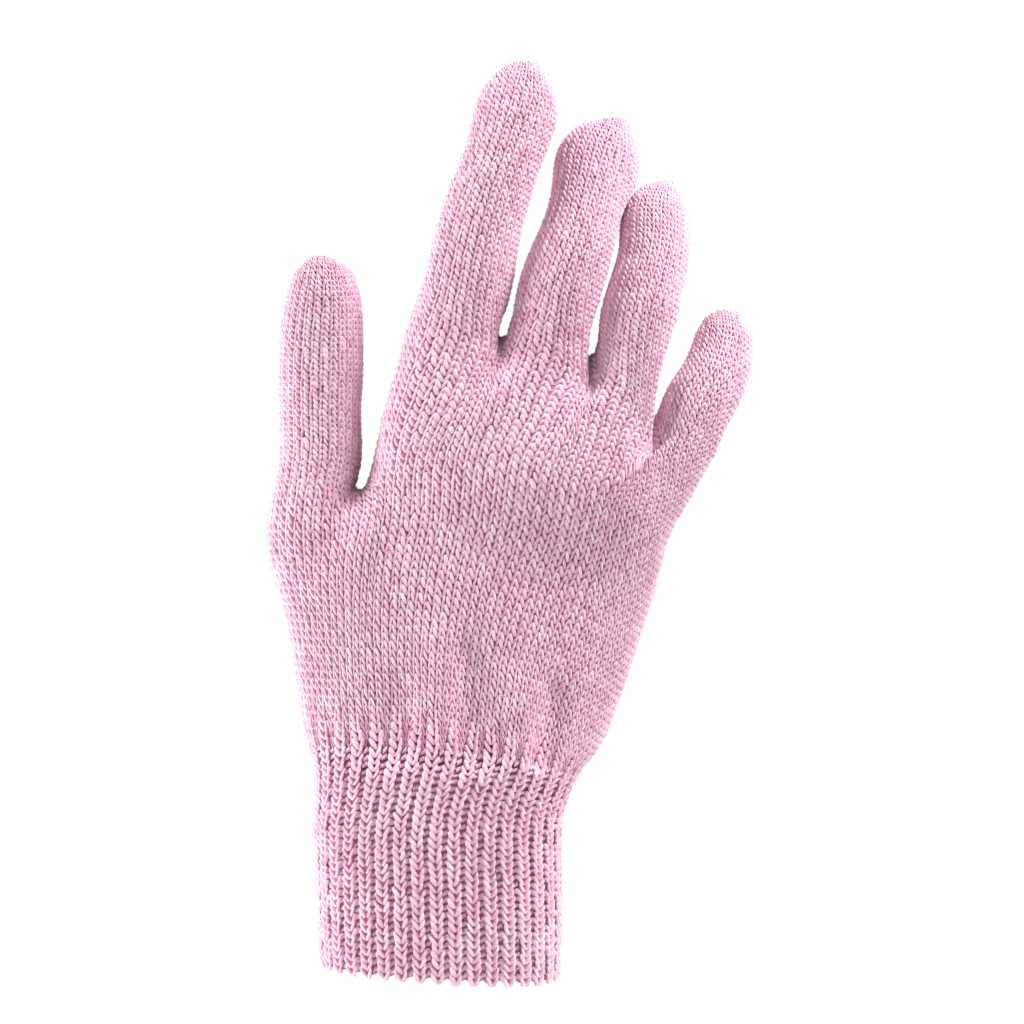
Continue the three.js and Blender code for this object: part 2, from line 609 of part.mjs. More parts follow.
// The hand and its fingers, shaped together and then parted at the finger roots
const roots = {};
for (const name of Object.keys(FINGERS)) {
  roots[name] = addFinger(name);
}
placeWebSide(WEBS.thumb, roots.thumb, 'Right', -1);
for (let i = 1; i < UPPER_FINGERS.length; i += 1) {
  const web = WEBS[UPPER_FINGERS[i - 1]];
  placeWebSide(web, roots[UPPER_FINGERS[i - 1]], 'Right', -1);
  placeWebSide(web, roots[UPPER_FINGERS[i]], 'Left', 1);
}
addHand(roots);
fitControl(control);
const cloth = subdivide(control);
cloth.points = smoothPoints(cloth, neighbours(cloth));
const normals = pointNormals(cloth);
cloth.points.forEach((point, i) => {
  const frontness = Math.max(0, -normals[i].y);
  point.addScaledVector(normals[i], foldRise(point) * frontness);
});
const foldedNormals = pointNormals(cloth);

const glove = new THREE.Group();
glove.name = 'knit_glove';
glove.add(ribbedCuff());
for (const name of ['hand', ...Object.keys(FINGERS)]) {
  glove.add(clothPiece(name, cloth, foldedNormals));
}

export default glove;
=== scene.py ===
"""A pale pink knitted glove for a right hand, worn and upright, seen from the back of the hand.

Every visible surface is knitted: a thin backing, coloured dark as painted shade for the gaps between
stitches, follows the shape of the hand, and each stitch lies on it as two short arched legs of yarn. Metres,
+Z up the hand, -Y out of the back of the hand.
"""
import math
from collections import namedtuple

import bpy
import numpy as np
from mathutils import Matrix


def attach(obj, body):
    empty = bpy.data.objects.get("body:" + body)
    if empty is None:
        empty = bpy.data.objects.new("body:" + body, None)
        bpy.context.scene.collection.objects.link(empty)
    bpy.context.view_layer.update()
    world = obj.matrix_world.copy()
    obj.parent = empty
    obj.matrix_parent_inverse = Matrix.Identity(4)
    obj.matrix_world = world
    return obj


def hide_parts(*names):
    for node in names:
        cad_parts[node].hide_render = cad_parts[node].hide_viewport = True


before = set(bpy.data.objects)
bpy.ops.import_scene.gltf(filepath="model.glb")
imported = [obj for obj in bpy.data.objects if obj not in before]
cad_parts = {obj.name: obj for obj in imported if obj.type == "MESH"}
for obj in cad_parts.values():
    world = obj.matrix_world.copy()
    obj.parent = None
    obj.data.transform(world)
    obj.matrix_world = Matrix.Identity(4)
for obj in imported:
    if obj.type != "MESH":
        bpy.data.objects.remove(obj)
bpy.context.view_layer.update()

Section = namedtuple("Section", "x y z half_width half_depth")
Tip = namedtuple("Tip", "left_x left_z x y z right_x right_z")
Web = namedtuple("Web", "front_x front_y front_z top_x top_y top_z back_x back_y back_z half_width")
Row = namedtuple("Row", "left_x left_z mid_z right_x right_z front back thumb_back spread")
Fold = namedtuple("Fold", "from_x from_z to_x to_z half_width rise")
CuffSection = namedtuple("CuffSection", "z left_x right_x half_depth")

# The fingers' sections from root to tip, and the seam that closes each tip
FINGERS = {
    "thumb": (
        [
            Section(-0.0326, 0.0040, 0.1201, 0.0113, 0.0108),
            Section(-0.0316, 0.0060, 0.1308, 0.0108, 0.0106),
            Section(-0.0317, 0.0070, 0.1425, 0.0108, 0.0105),
            Section(-0.0315, 0.0070, 0.1542, 0.0111, 0.0105),
            Section(-0.0311, 0.0065, 0.1646, 0.0107, 0.0100),
            Section(-0.0306, 0.0055, 0.1734, 0.0097, 0.0092),
            Section(-0.0306, 0.0046, 0.1798, 0.0076, 0.0068),
        ],
        Tip(-0.0346, 0.1834, -0.0312, 0.0040, 0.1845, -0.0268, 0.1828),
    ),
    "index_finger": (
        [
            Section(0.0043, 0.0000, 0.1651, 0.0120, 0.0104),
            Section(0.0069, -0.0005, 0.1749, 0.0115, 0.0102),
            Section(0.0097, 0.0000, 0.1887, 0.0110, 0.0100),
            Section(0.0130, 0.0010, 0.2001, 0.0105, 0.0096),
            Section(0.0160, 0.0025, 0.2088, 0.0101, 0.0092),
            Section(0.0187, 0.0045, 0.2174, 0.0106, 0.0090),
            Section(0.0206, 0.0060, 0.2246, 0.0104, 0.0082),
            Section(0.0216, 0.0076, 0.2304, 0.0078, 0.0062),
        ],
        Tip(0.0178, 0.2352, 0.0226, 0.0085, 0.2359, 0.0266, 0.2342),
    ),
    "middle_finger": (
        [
            Section(0.0274, 0.0000, 0.1599, 0.0117, 0.0106),
            Section(0.0311, -0.0005, 0.1747, 0.0107, 0.0104),
            Section(0.0355, 0.0015, 0.1878, 0.0099, 0.0099),
            Section(0.0378, 0.0045, 0.1957, 0.0096, 0.0096),
            Section(0.0396, 0.0075, 0.2024, 0.0103, 0.0093),
            Section(0.0418, 0.0115, 0.2106, 0.0109, 0.0086),
            Section(0.0439, 0.0146, 0.2170, 0.0075, 0.0062),
        ],
        Tip(0.0408, 0.2204, 0.0454, 0.0170, 0.2222, 0.0498, 0.2208),
    ),
    "ring_finger": (
        [
            Section(0.0477, 0.0005, 0.1505, 0.0099, 0.0100),
            Section(0.0511, 0.0005, 0.1656, 0.0096, 0.0098),
            Section(0.0538, 0.0030, 0.1758, 0.0095, 0.0095),
            Section(0.0562, 0.0075, 0.1858, 0.0092, 0.0092),
            Section(0.0568, 0.0120, 0.1946, 0.0089, 0.0084),
            Section(0.0581, 0.0158, 0.2006, 0.0063, 0.0058),
        ],
        Tip(0.0548, 0.2038, 0.0586, 0.0185, 0.2052, 0.0620, 0.2042),
    ),
    "little_finger": (
        [
            Section(0.0633, 0.0010, 0.1370, 0.0094, 0.0090),
            Section(0.0672, 0.0015, 0.1448, 0.0091, 0.0088),
            Section(0.0714, 0.0040, 0.1518, 0.0088, 0.0085),
            Section(0.0741, 0.0080, 0.1591, 0.0081, 0.0080),
            Section(0.0749, 0.0110, 0.1636, 0.0073, 0.0072),
        ],
        Tip(0.0703, 0.1686, 0.0754, 0.0140, 0.1706, 0.0798, 0.1684),
    ),
}

# The cloth between two fingers, named after the finger on its left
WEBS = {
    "thumb": Web(-0.0228, -0.0040, 0.1212, -0.0207, 0.0030, 0.1240, -0.0220, 0.0090, 0.1225, 0.0014),
    "index_finger": Web(0.0160, -0.0060, 0.1596, 0.0165, 0.0005, 0.1643, 0.0162, 0.0070, 0.1625, 0.0016),
    "middle_finger": Web(0.0396, -0.0060, 0.1518, 0.0392, 0.0005, 0.1591, 0.0392, 0.0070, 0.1573, 0.0016),
    "ring_finger": Web(0.0563, -0.0055, 0.1360, 0.0550, 0.0005, 0.1427, 0.0555, 0.0065, 0.1401, 0.0016),
}

# Rows around the hand from the cuff up
LOWER_ROWS = [
    Row(-0.0323, 0.0520, 0.0520, 0.0380, 0.0520, 0.0205, 0.0205, 0.0000, 0.0),
    Row(-0.0351, 0.0603, 0.0627, 0.0422, 0.0575, 0.0180, 0.0200, 0.0005, 0.1),
    Row(-0.0373, 0.0720, 0.0749, 0.0461, 0.0666, 0.0165, 0.0200, 0.0015, 0.3),
    Row(-0.0396, 0.0858, 0.0887, 0.0501, 0.0783, 0.0155, 0.0200, 0.0025, 0.55),
    Row(-0.0427, 0.0980, 0.1022, 0.0534, 0.0887, 0.0150, 0.0200, 0.0035, 0.8),
    Row(-0.0454, 0.1087, 0.1152, 0.0566, 0.0991, 0.0145, 0.0190, 0.0040, 1.0),
]
THUMB_LEVEL_ROW = Row(-0.0193, 0.1245, 0.1282, 0.0596, 0.1110, 0.0140, 0.0150, 0.0020, 1.0)
UPPER_ROW_SHARES = [0.38, 0.72]
PIT_SHARPNESS = 3
CROSS_SECTION_POWER = 2.4
WRIST_FIRST_ANGLE = math.radians(18)
THUMB_COLUMNS = [-0.92, -0.76, -0.6]
FINGER_COLUMNS = [-0.9, -0.72, -0.5, -0.34, -0.13, 0.1, 0.22, 0.4, 0.52, 0.63, 0.78, 0.93]

# Soft folds above the cuff, then a ridge over the knuckles, a hollow below it and the thumb's crease
FOLDS = [
    Fold(-0.0105, 0.0570, -0.0100, 0.0730, 0.0040, -0.0010),
    Fold(0.0008, 0.0600, 0.0000, 0.0850, 0.0045, 0.0014),
    Fold(0.0084, 0.0560, 0.0080, 0.0800, 0.0056, -0.0016),
    Fold(0.0210, 0.0570, 0.0215, 0.0720, 0.0042, 0.0013),
    Fold(0.0265, 0.0540, 0.0300, 0.0710, 0.0032, -0.0019),
    Fold(-0.0060, 0.1430, 0.0480, 0.1180, 0.0160, 0.0024),
    Fold(-0.0050, 0.1180, 0.0280, 0.1020, 0.0130, -0.0016),
    Fold(-0.0212, 0.1195, -0.0300, 0.1080, 0.0044, -0.0020),
]

# Sections of the ribbed cuff from the hand down to its rim
CUFF_SECTIONS = [
    CuffSection(0.0520, -0.0323, 0.0380, 0.0205),
    CuffSection(0.0458, -0.0319, 0.0340, 0.0204),
    CuffSection(0.0410, -0.0320, 0.0320, 0.0206),
    CuffSection(0.0340, -0.0324, 0.0312, 0.0210),
    CuffSection(0.0180, -0.0316, 0.0314, 0.0218),
    CuffSection(0.0050, -0.0310, 0.0313, 0.0222),
]
CUFF_RIM = CuffSection(-0.0002, -0.0305, 0.0309, 0.0220)
RIM_SLOPE = -0.062
RIB_COUNT = 38
CUFF_COURSES = 31
PROFILE_SAMPLES = 720

# The stitch grid: wales run up the cloth, courses run around it
FINGER_COURSE = 0.00155
FINE_PER_STITCH = 4
FINE_PER_FACE = 8
SMOOTHING_LEVELS = 3
FITTING_ROUNDS = 8
EDGE_MARGIN = 0.001

# Depths below the outline of the solids
BACKING_DEPTH = 0.0008
INNER_DEPTH = 0.0017
JOIN_BACKING_DEPTH = 0.0007
JOIN_BACKING_RISE = 0.015

SPOTS = ["front_left", "front", "front_right", "right", "back_right", "back", "back_left", "left"]
SPOT_ACROSS = [-0.73, 0.0, 0.73, 1.0, 0.73, 0.0, -0.73, -1.0]
SPOT_DEPTH = [-0.73, -1.0, -0.73, 0.0, 0.73, 1.0, 0.73, 0.0]
FRONT_SPOTS = SPOTS[0:3]
BACK_SPOTS = SPOTS[4:7]
UPPER_FINGERS = ["index_finger", "middle_finger", "ring_finger", "little_finger"]


def mix(a, b, share):
    return a + (b - a) * share


def smooth_step(share):
    share = np.clip(share, 0.0, 1.0)
    return share * share * (3.0 - 2.0 * share)


def unit(directions):
    return directions / np.linalg.norm(directions, axis=-1, keepdims=True)


class Cage:
    """The control mesh: points that the cloth passes, four-sided faces and the piece that each belongs to."""

    def __init__(self):
        self.points = []
        self.faces = []
        self.labels = []

    def point(self, x, y, z):
        self.points.append([x, y, z])
        return len(self.points) - 1

    def face(self, label, *corners):
        self.faces.append(corners)
        self.labels.append(label)

    def band(self, label, lower, upper):
        count = len(lower)
        for i in range(count):
            after = (i + 1) % count
            self.face(label, lower[i], lower[after], upper[after], upper[i])


def finger_ring(cage, sections, index):
    """The eight named points of one finger section, square to the finger's run."""
    section = sections[index]
    before = sections[max(index - 1, 0)]
    after = sections[min(index + 1, len(sections) - 1)]
    run = unit(np.subtract(after[:3], before[:3]))
    depth_way = unit(np.array([0.0, 1.0, 0.0]) - run * run[1])
    across_way = np.cross(depth_way, run)
    ring = {}
    for spot, across, depth in zip(SPOTS, SPOT_ACROSS, SPOT_DEPTH):
        place = section[:3] + across_way * across * section.half_width
        ring[spot] = cage.point(*(place + depth_way * depth * section.half_depth))
    return ring


def in_order(ring):
    return [ring[spot] for spot in SPOTS]


def add_finger(cage, name):
    """A finger closed along its tip seam; returns its rings and the three seam points."""
    sections, tip = FINGERS[name]
    rings = [finger_ring(cage, sections, index) for index in range(len(sections))]
    for lower, upper in zip(rings[:-1], rings[1:]):
        cage.band(name, in_order(lower), in_order(upper))
    last = rings[-1]
    left = cage.point(tip.left_x, tip.y, tip.left_z)
    middle = cage.point(tip.x, tip.y, tip.z)
    right = cage.point(tip.right_x, tip.y, tip.right_z)
    cage.face(name, last["front_left"], last["front"], middle, left)
    cage.face(name, last["front"], last["front_right"], right, middle)
    cage.face(name, last["front_right"], last["right"], last["back_right"], right)
    cage.face(name, last["back_right"], last["back"], middle, right)
    cage.face(name, last["back"], last["back_left"], left, middle)
    cage.face(name, last["back_left"], last["left"], last["front_left"], left)
    return rings, (left, middle, right)


def place_web_side(cage, web, ring, side, sign):
    """Moves the root points beside a web onto its corners and its saddle."""
    shift = sign * web.half_width
    cage.points[ring["front_" + side]] = [web.front_x + shift, web.front_y, web.front_z]
    cage.points[ring[side]] = [web.top_x + shift, web.top_y, web.top_z]
    cage.points[ring["back_" + side]] = [web.back_x + shift, web.back_y, web.back_z]


def add_web(cage, left_ring, right_ring):
    """The cloth between two rings; returns its grid from front to back."""
    left = [left_ring[spot] for spot in ("front_right", "right", "back_right")]
    right = [right_ring[spot] for spot in ("front_left", "left", "back_left")]
    for i in range(2):
        cage.face("hand", left[i], right[i], right[i + 1], left[i + 1])
    return list(zip(left, right))


def hand_point(cage, row, across, side):
    """A point of a row around the hand; side is -1 in front and 1 behind."""
    middle_of_sides = (row.left_z + row.right_z) / 2
    x = mix(row.left_x, row.right_x, (across + 1) / 2)
    z = row.mid_z + (row.right_z - row.left_z) / 2 * across + (middle_of_sides - row.mid_z) * across ** 2
    roundness = (1 - abs(across) ** CROSS_SECTION_POWER) ** (1 / CROSS_SECTION_POWER)
    depth = row.front if side < 0 else row.back
    centre = row.thumb_back * max(0.0, -across)
    return cage.point(x, centre + side * depth * roundness, z)


def hand_row(cage, row, columns):
    front = [hand_point(cage, row, across, -1) for across in columns]
    back = [hand_point(cage, row, across, 1) for across in columns][::-1]
    return front + [hand_point(cage, row, 1.0, 1)] + back + [hand_point(cage, row, -1.0, 1)]


def add_hand(cage, roots):
    """The hand from the cuff to the finger roots; returns its lower rows, upper rows and webs."""
    count = len(THUMB_COLUMNS) + len(FINGER_COLUMNS)
    angles = np.linspace(WRIST_FIRST_ANGLE, math.pi - WRIST_FIRST_ANGLE, count)
    wrist = -np.cos(angles)
    top = LOWER_ROWS[-1]
    start = (THUMB_LEVEL_ROW.left_x - top.left_x) / (top.right_x - top.left_x) * 2 - 1
    thumb_level = np.array(THUMB_COLUMNS + [mix(start, 1.0, (across + 1) / 2) for across in FINGER_COLUMNS])
    lower = [hand_row(cage, row, mix(wrist, thumb_level, row.spread)) for row in LOWER_ROWS]
    for below, above in zip(lower[:-1], lower[1:]):
        cage.band("hand", below, above)

    # The row at the thumb's level, where the lower rows split into the thumb and the rest
    thumb = roots["thumb"]
    level = hand_row(cage, THUMB_LEVEL_ROW, FINGER_COLUMNS)
    split = len(FINGER_COLUMNS) + 1
    above = [thumb[spot] for spot in FRONT_SPOTS] + level[:split] + level[split:-1]
    above += [thumb[spot] for spot in BACK_SPOTS] + [thumb["left"]]
    cage.band("hand", lower[-1], above)
    lower.append(above)
    level_side = {"front_left": level[0], "left": level[-1], "back_left": level[-2]}
    webs = [add_web(cage, thumb, level_side)]

    # From the thumb's level to the finger roots
    root_row = [roots[name][spot] for name in UPPER_FINGERS for spot in FRONT_SPOTS]
    root_row.append(roots["little_finger"]["right"])
    root_row += [roots[name][spot] for name in UPPER_FINGERS[::-1] for spot in BACK_SPOTS]
    root_row.append(roots["index_finger"]["left"])
    web_points = {roots[name][side + "_" + way] for name in UPPER_FINGERS
                  for side in ("front", "back") for way in ("left", "right")}
    upper = [level]
    for share in UPPER_ROW_SHARES:
        row = []
        for below, above in zip(level, root_row):
            low = np.array(cage.points[below])
            high = np.array(cage.points[above])
            place = mix(low, high, share)
            if above in web_points:
                place[1] = mix(low[1], high[1], share ** PIT_SHARPNESS)
            row.append(cage.point(*place))
        cage.band("hand", upper[-1], row)
        upper.append(row)
    cage.band("hand", upper[-1], root_row)
    upper.append(root_row)
    for left, right in zip(UPPER_FINGERS[:-1], UPPER_FINGERS[1:]):
        webs.append(add_web(cage, roots[left], roots[right]))
    return lower, upper, webs


def edge_table(faces):
    """Each edge once, the four edges of every face, and how many faces use each edge."""
    ends = np.stack([faces, np.roll(faces, -1, axis=1)], axis=-1).reshape(-1, 2)
    edges, which, counts = np.unique(np.sort(ends, axis=1), axis=0, return_inverse=True, return_counts=True)
    return edges, which.reshape(-1, 4), counts


def joined_sum(pairs, points):
    """For each point, the sum of the points that the pairs join it to."""
    total = np.zeros_like(points)
    np.add.at(total, pairs[:, 0], points[pairs[:, 1]])
    np.add.at(total, pairs[:, 1], points[pairs[:, 0]])
    return total


def smooth_points(points, faces):
    """Where the smooth surface passes for each point of the mesh."""
    edges, _, counts = edge_table(faces)
    diagonal_sum = np.zeros_like(points)
    for i in range(4):
        np.add.at(diagonal_sum, faces[:, i], points[faces[:, (i + 2) % 4]])
    valence = np.bincount(edges.ravel(), minlength=len(points))[:, None]
    result = valence ** 2 * points + 4 * joined_sum(edges, points) + diagonal_sum
    result /= valence * (valence + 5)
    border = edges[counts == 1]
    rim = np.unique(border)
    result[rim] = (4 * points[rim] + joined_sum(border, points)[rim]) / 6
    return result


def subdivide(points, faces, labels, grids):
    """Splits each face into four, smoothing the mesh, and refines the grids of point numbers with it."""
    edges, face_edges, counts = edge_table(faces)
    size = len(points)
    centres = points[faces].mean(axis=1)
    middles = points[edges].mean(axis=1)
    centre_sum = np.zeros((len(edges), 3))
    np.add.at(centre_sum, face_edges.ravel(), np.repeat(centres, 4, axis=0))
    inside = (counts == 2)[:, None]
    edge_points = np.where(inside, (2 * middles + centre_sum) / 4, middles)

    valence = np.bincount(edges.ravel(), minlength=size)[:, None]
    middle_sum = np.zeros_like(points)
    np.add.at(middle_sum, edges[:, 0], middles)
    np.add.at(middle_sum, edges[:, 1], middles)
    around = np.zeros_like(points)
    np.add.at(around, faces.ravel(), np.repeat(centres, 4, axis=0))
    corner_points = (around / valence + 2 * middle_sum / valence + (valence - 3) * points) / valence
    border = edges[counts == 1]
    rim = np.unique(border)
    corner_points[rim] = (6 * points[rim] + joined_sum(border, points)[rim]) / 8

    edge_start = size
    centre_start = size + len(edges)
    centre_numbers = centre_start + np.arange(len(faces))
    new_faces = [np.stack([faces[:, i], edge_start + face_edges[:, i], centre_numbers,
                           edge_start + face_edges[:, i - 1]], axis=1) for i in range(4)]
    new_points = np.concatenate([corner_points, edge_points, centres])

    edge_of = {tuple(pair): edge_start + i for i, pair in enumerate(edges.tolist())}
    centre_of = {tuple(sorted(face)): centre_start + i for i, face in enumerate(faces.tolist())}

    def refine(grid):
        rows, columns = grid.shape
        fine = np.zeros((2 * rows - 1, 2 * columns - 1), dtype=int)
        fine[::2, ::2] = grid
        for i in range(rows):
            for j in range(columns - 1):
                fine[2 * i, 2 * j + 1] = edge_of[tuple(sorted((grid[i, j], grid[i, j + 1])))]
        for i in range(rows - 1):
            for j in range(columns):
                fine[2 * i + 1, 2 * j] = edge_of[tuple(sorted((grid[i, j], grid[i + 1, j])))]
            for j in range(columns - 1):
                corners = (grid[i, j], grid[i, j + 1], grid[i + 1, j + 1], grid[i + 1, j])
                fine[2 * i + 1, 2 * j + 1] = centre_of[tuple(sorted(corners))]
        return fine

    new_labels = np.tile(labels, 4)
    new_grids = {name: refine(grid) for name, grid in grids.items()}
    return new_points, np.concatenate(new_faces), new_labels, new_grids


def point_normals(points, faces):
    first = points[faces[:, 2]] - points[faces[:, 0]]
    second = points[faces[:, 3]] - points[faces[:, 1]]
    face_normals = np.cross(first, second)
    normals = np.zeros_like(points)
    for i in range(4):
        np.add.at(normals, faces[:, i], face_normals)
    return unit(normals)


def fold_rise(points):
    """How far the folds move points of the hand's front."""
    rise = np.zeros(len(points))
    for fold in FOLDS:
        start = np.array([fold.from_x, fold.from_z])
        run = np.array([fold.to_x, fold.to_z]) - start
        offset = points[:, [0, 2]] - start
        along = np.clip(offset @ run / (run @ run), 0, 1)
        distance = np.linalg.norm(offset - along[:, None] * run, axis=1)
        rise += fold.rise * np.exp(-(distance / fold.half_width) ** 2)
    return rise


def build_surface():
    """The smooth surface of hand and fingers, with grids of point numbers for its regions."""
    cage = Cage()
    fingers = {name: add_finger(cage, name) for name in FINGERS}
    roots = {name: rings[0] for name, (rings, _) in fingers.items()}
    place_web_side(cage, WEBS["thumb"], roots["thumb"], "right", -1)
    for left, right in zip(UPPER_FINGERS[:-1], UPPER_FINGERS[1:]):
        place_web_side(cage, WEBS[left], roots[left], "right", -1)
        place_web_side(cage, WEBS[left], roots[right], "left", 1)
    lower, upper, webs = add_hand(cage, roots)

    grids = {
        "lower": np.array([row + row[:1] for row in lower]),
        "upper": np.array([row + row[:1] for row in upper]),
    }
    for i, web in enumerate(webs):
        grids["web_%d" % i] = np.array(web)
    for name, (rings, seam) in fingers.items():
        left, middle, right = seam
        last = rings[-1]
        grids[name] = np.array([in_order(ring) + [ring["front_left"]] for ring in rings])
        grids[name + ".front"] = np.array([[last[spot] for spot in FRONT_SPOTS], [left, middle, right]])
        grids[name + ".right"] = np.array([[last["front_right"], last["right"]], [right, last["back_right"]]])
        grids[name + ".back"] = np.array([[last[spot] for spot in BACK_SPOTS], [right, middle, left]])
        grids[name + ".left"] = np.array([[last["back_left"], last["left"]], [left, last["front_left"]]])

    points = np.array(cage.points)
    faces = np.array(cage.faces)
    labels = np.array(cage.labels)
    targets = points.copy()
    for _ in range(FITTING_ROUNDS):
        points = points + targets - smooth_points(points, faces)
    for _ in range(SMOOTHING_LEVELS):
        points, faces, labels, grids = subdivide(points, faces, labels, grids)
    points = smooth_points(points, faces)
    normals = point_normals(points, faces)
    frontness = np.maximum(0, -normals[:, 1])
    points = points + normals * (fold_rise(points) * frontness)[:, None]
    return points, faces, labels, grids, point_normals(points, faces)


def between(field, columns, rows):
    """Values of a field at places between the points of its grid."""
    left = columns.astype(int)
    low = rows.astype(int)
    share = (columns - left)[..., None]
    below = mix(field[low, left], field[low, left + 1], share)
    above = mix(field[low + 1, left], field[low + 1, left + 1], share)
    return mix(below, above, (rows - low)[..., None])


class Cloth:
    """A knitted region, resampled so that a stitch is one step of wale (across) and of course (along)."""

    def __init__(self, places, normals, courses_at, wales_at, closed):
        """courses_at and wales_at give the course and the wale of each point of the grid."""
        self.course_start = math.floor(courses_at.min()) - 1.0
        count = int((math.ceil(courses_at.max()) + 1.0 - self.course_start) * FINE_PER_STITCH) + 1
        courses = np.arange(count) / FINE_PER_STITCH + self.course_start
        fields = np.concatenate([places, normals, wales_at[..., None]], axis=2)
        fields = resample_rows(fields, courses_at, courses)
        self.wale_start = wales_at[0, 0]
        self.closed = closed
        count = int(round((wales_at[0, -1] - self.wale_start) * FINE_PER_STITCH))
        wanted = self.wale_start + np.arange(count + 1) / FINE_PER_STITCH
        fine = np.empty((len(courses), count + 1, 6))
        for row in range(len(courses)):
            for axis in range(6):
                fine[row, :, axis] = np.interp(wanted, fields[row, :, 6], fields[row, :, axis])
        self.places = fine[..., :3]
        self.normals = unit(fine[..., 3:])

    def at(self, wales, courses):
        """Places and outward directions for arrays of wale and course positions."""
        rows, columns, _ = self.places.shape
        across = (wales - self.wale_start) * FINE_PER_STITCH
        if self.closed:
            across = np.mod(across, columns - 1)
        across = np.clip(across, 0, columns - 1 - EDGE_MARGIN)
        along = np.clip((courses - self.course_start) * FINE_PER_STITCH, 0, rows - 1 - EDGE_MARGIN)
        return between(self.places, across, along), unit(between(self.normals, across, along))

    def pitches(self, wales, courses):
        """The width and height of a stitch around the given positions."""
        width = np.linalg.norm(self.at(wales + 0.5, courses)[0] - self.at(wales - 0.5, courses)[0], axis=-1)
        height = np.linalg.norm(self.at(wales, courses + 0.5)[0] - self.at(wales, courses - 0.5)[0], axis=-1)
        return width, height


def row_lengths(places):
    """The length along each row of a grid, from its first column on."""
    steps = np.linalg.norm(np.diff(places, axis=1), axis=2)
    return np.concatenate([np.zeros((len(places), 1)), np.cumsum(steps, axis=1)], axis=1)


def column_lengths(places):
    """The length along each column of a grid, from its first row on."""
    steps = np.linalg.norm(np.diff(places, axis=0), axis=2)
    return np.concatenate([np.zeros((1, places.shape[1])), np.cumsum(steps, axis=0)])


def resample_rows(field, courses_at, courses):
    """Each column of a field at new courses; beyond its first and last point a column runs straight on."""
    result = np.empty((len(courses),) + field.shape[1:])
    for column in range(field.shape[1]):
        at = courses_at[:, column]
        index = np.clip(np.searchsorted(at, courses) - 1, 0, len(at) - 2)
        share = (courses - at[index]) / (at[index + 1] - at[index])
        result[:, column] = mix(field[index, column], field[index + 1, column], share[:, None])
    return result


def spread_wales(places, anchors):
    """Wales shared out by length around each row, between pairs of a column and its wale."""
    columns = [column for column, _ in anchors]
    wales = [wale for _, wale in anchors]
    return np.array([np.interp(row, row[columns], wales) for row in row_lengths(places)])


def spread_courses(places, first, last):
    """Courses shared out by length along each column, from first to last."""
    lengths = column_lengths(places)
    return mix(first, last, lengths / lengths[-1])


# One knit stitch as two legs of yarn. Across is in wales, along in courses, heights in metres
Leg = namedtuple("Leg", "start_across start_along bow end_across end_along half_width top tone")
LEFT_LEG = Leg(0.60, -0.28, -0.05, 0.08, 1.08, 0.262, 0.00022, 0.56)
RIGHT_LEG = Leg(0.66, -0.32, 0.05, 0.95, 1.12, 0.225, 0.00010, 0.49)
RIB_LEFT_LEG = Leg(0.50, -0.36, -0.05, 0.09, 1.04, 0.262, 0.00014, 0.60)
RIB_RIGHT_LEG = Leg(0.54, -0.38, 0.05, 0.91, 1.06, 0.240, 0.00008, 0.54)
LEG_RINGS = np.linspace(0.0, 1.0, 5)[:, None]
LEG_TURNS = np.linspace(0.0, math.pi, 5)
TURN_SIDE = np.cos(LEG_TURNS)
TURN_RISE = np.sin(LEG_TURNS)
LEG_WIDTHS = np.array([0.68, 0.94, 1.0, 0.92, 0.62])[:, None]
LEG_DIPS = np.array([0.00055, 0.00020, 0.00004, 0.0, 0.00030])[:, None]
LEG_FOOT = -0.00095
LEG_ROUNDNESS = 0.9
# How much darker a stitch is painted per metre that it sinks: painted shade in the recess
SINK_PAINTED_SHADE = 260.0

# Sizes of a stitch: beyond these it is left narrower or left out, and its dips follow its width
WIDEST_STITCH = 0.0030
NARROWEST_STITCH = 0.0007
SHORTEST_STITCH = 0.0003
USUAL_STITCH = 0.0022
LEAST_DIP = 0.45
MOST_DIP = 1.3

# How much the stitches differ from each other
PLACE_SPREAD = 0.03
LEAN_SPREAD = 0.045
PLUMP_SPREAD = 0.11
LIFT_SPREAD = 0.00006
TONE_SPREAD = 0.06

# The loose ends of yarn at a fingertip's seam
TUFT_ENDS = {"left": 9, "right": 14}
TUFT_SPREAD = 0.0006
TUFT_LENGTH = 0.0021
TUFT_RADIUS = 0.00042
TUFT_RISE = 0.0006
TUFT_CREST = 1.5
TUFT_SINK = 1.2
TUFT_TONE = 0.6
TUFT_ASIDE = (0.3, 0.9, 0.2)


def each(values):
    """One value for each stitch, shaped to meet the rings and turns of its leg."""
    return values[:, None, None]


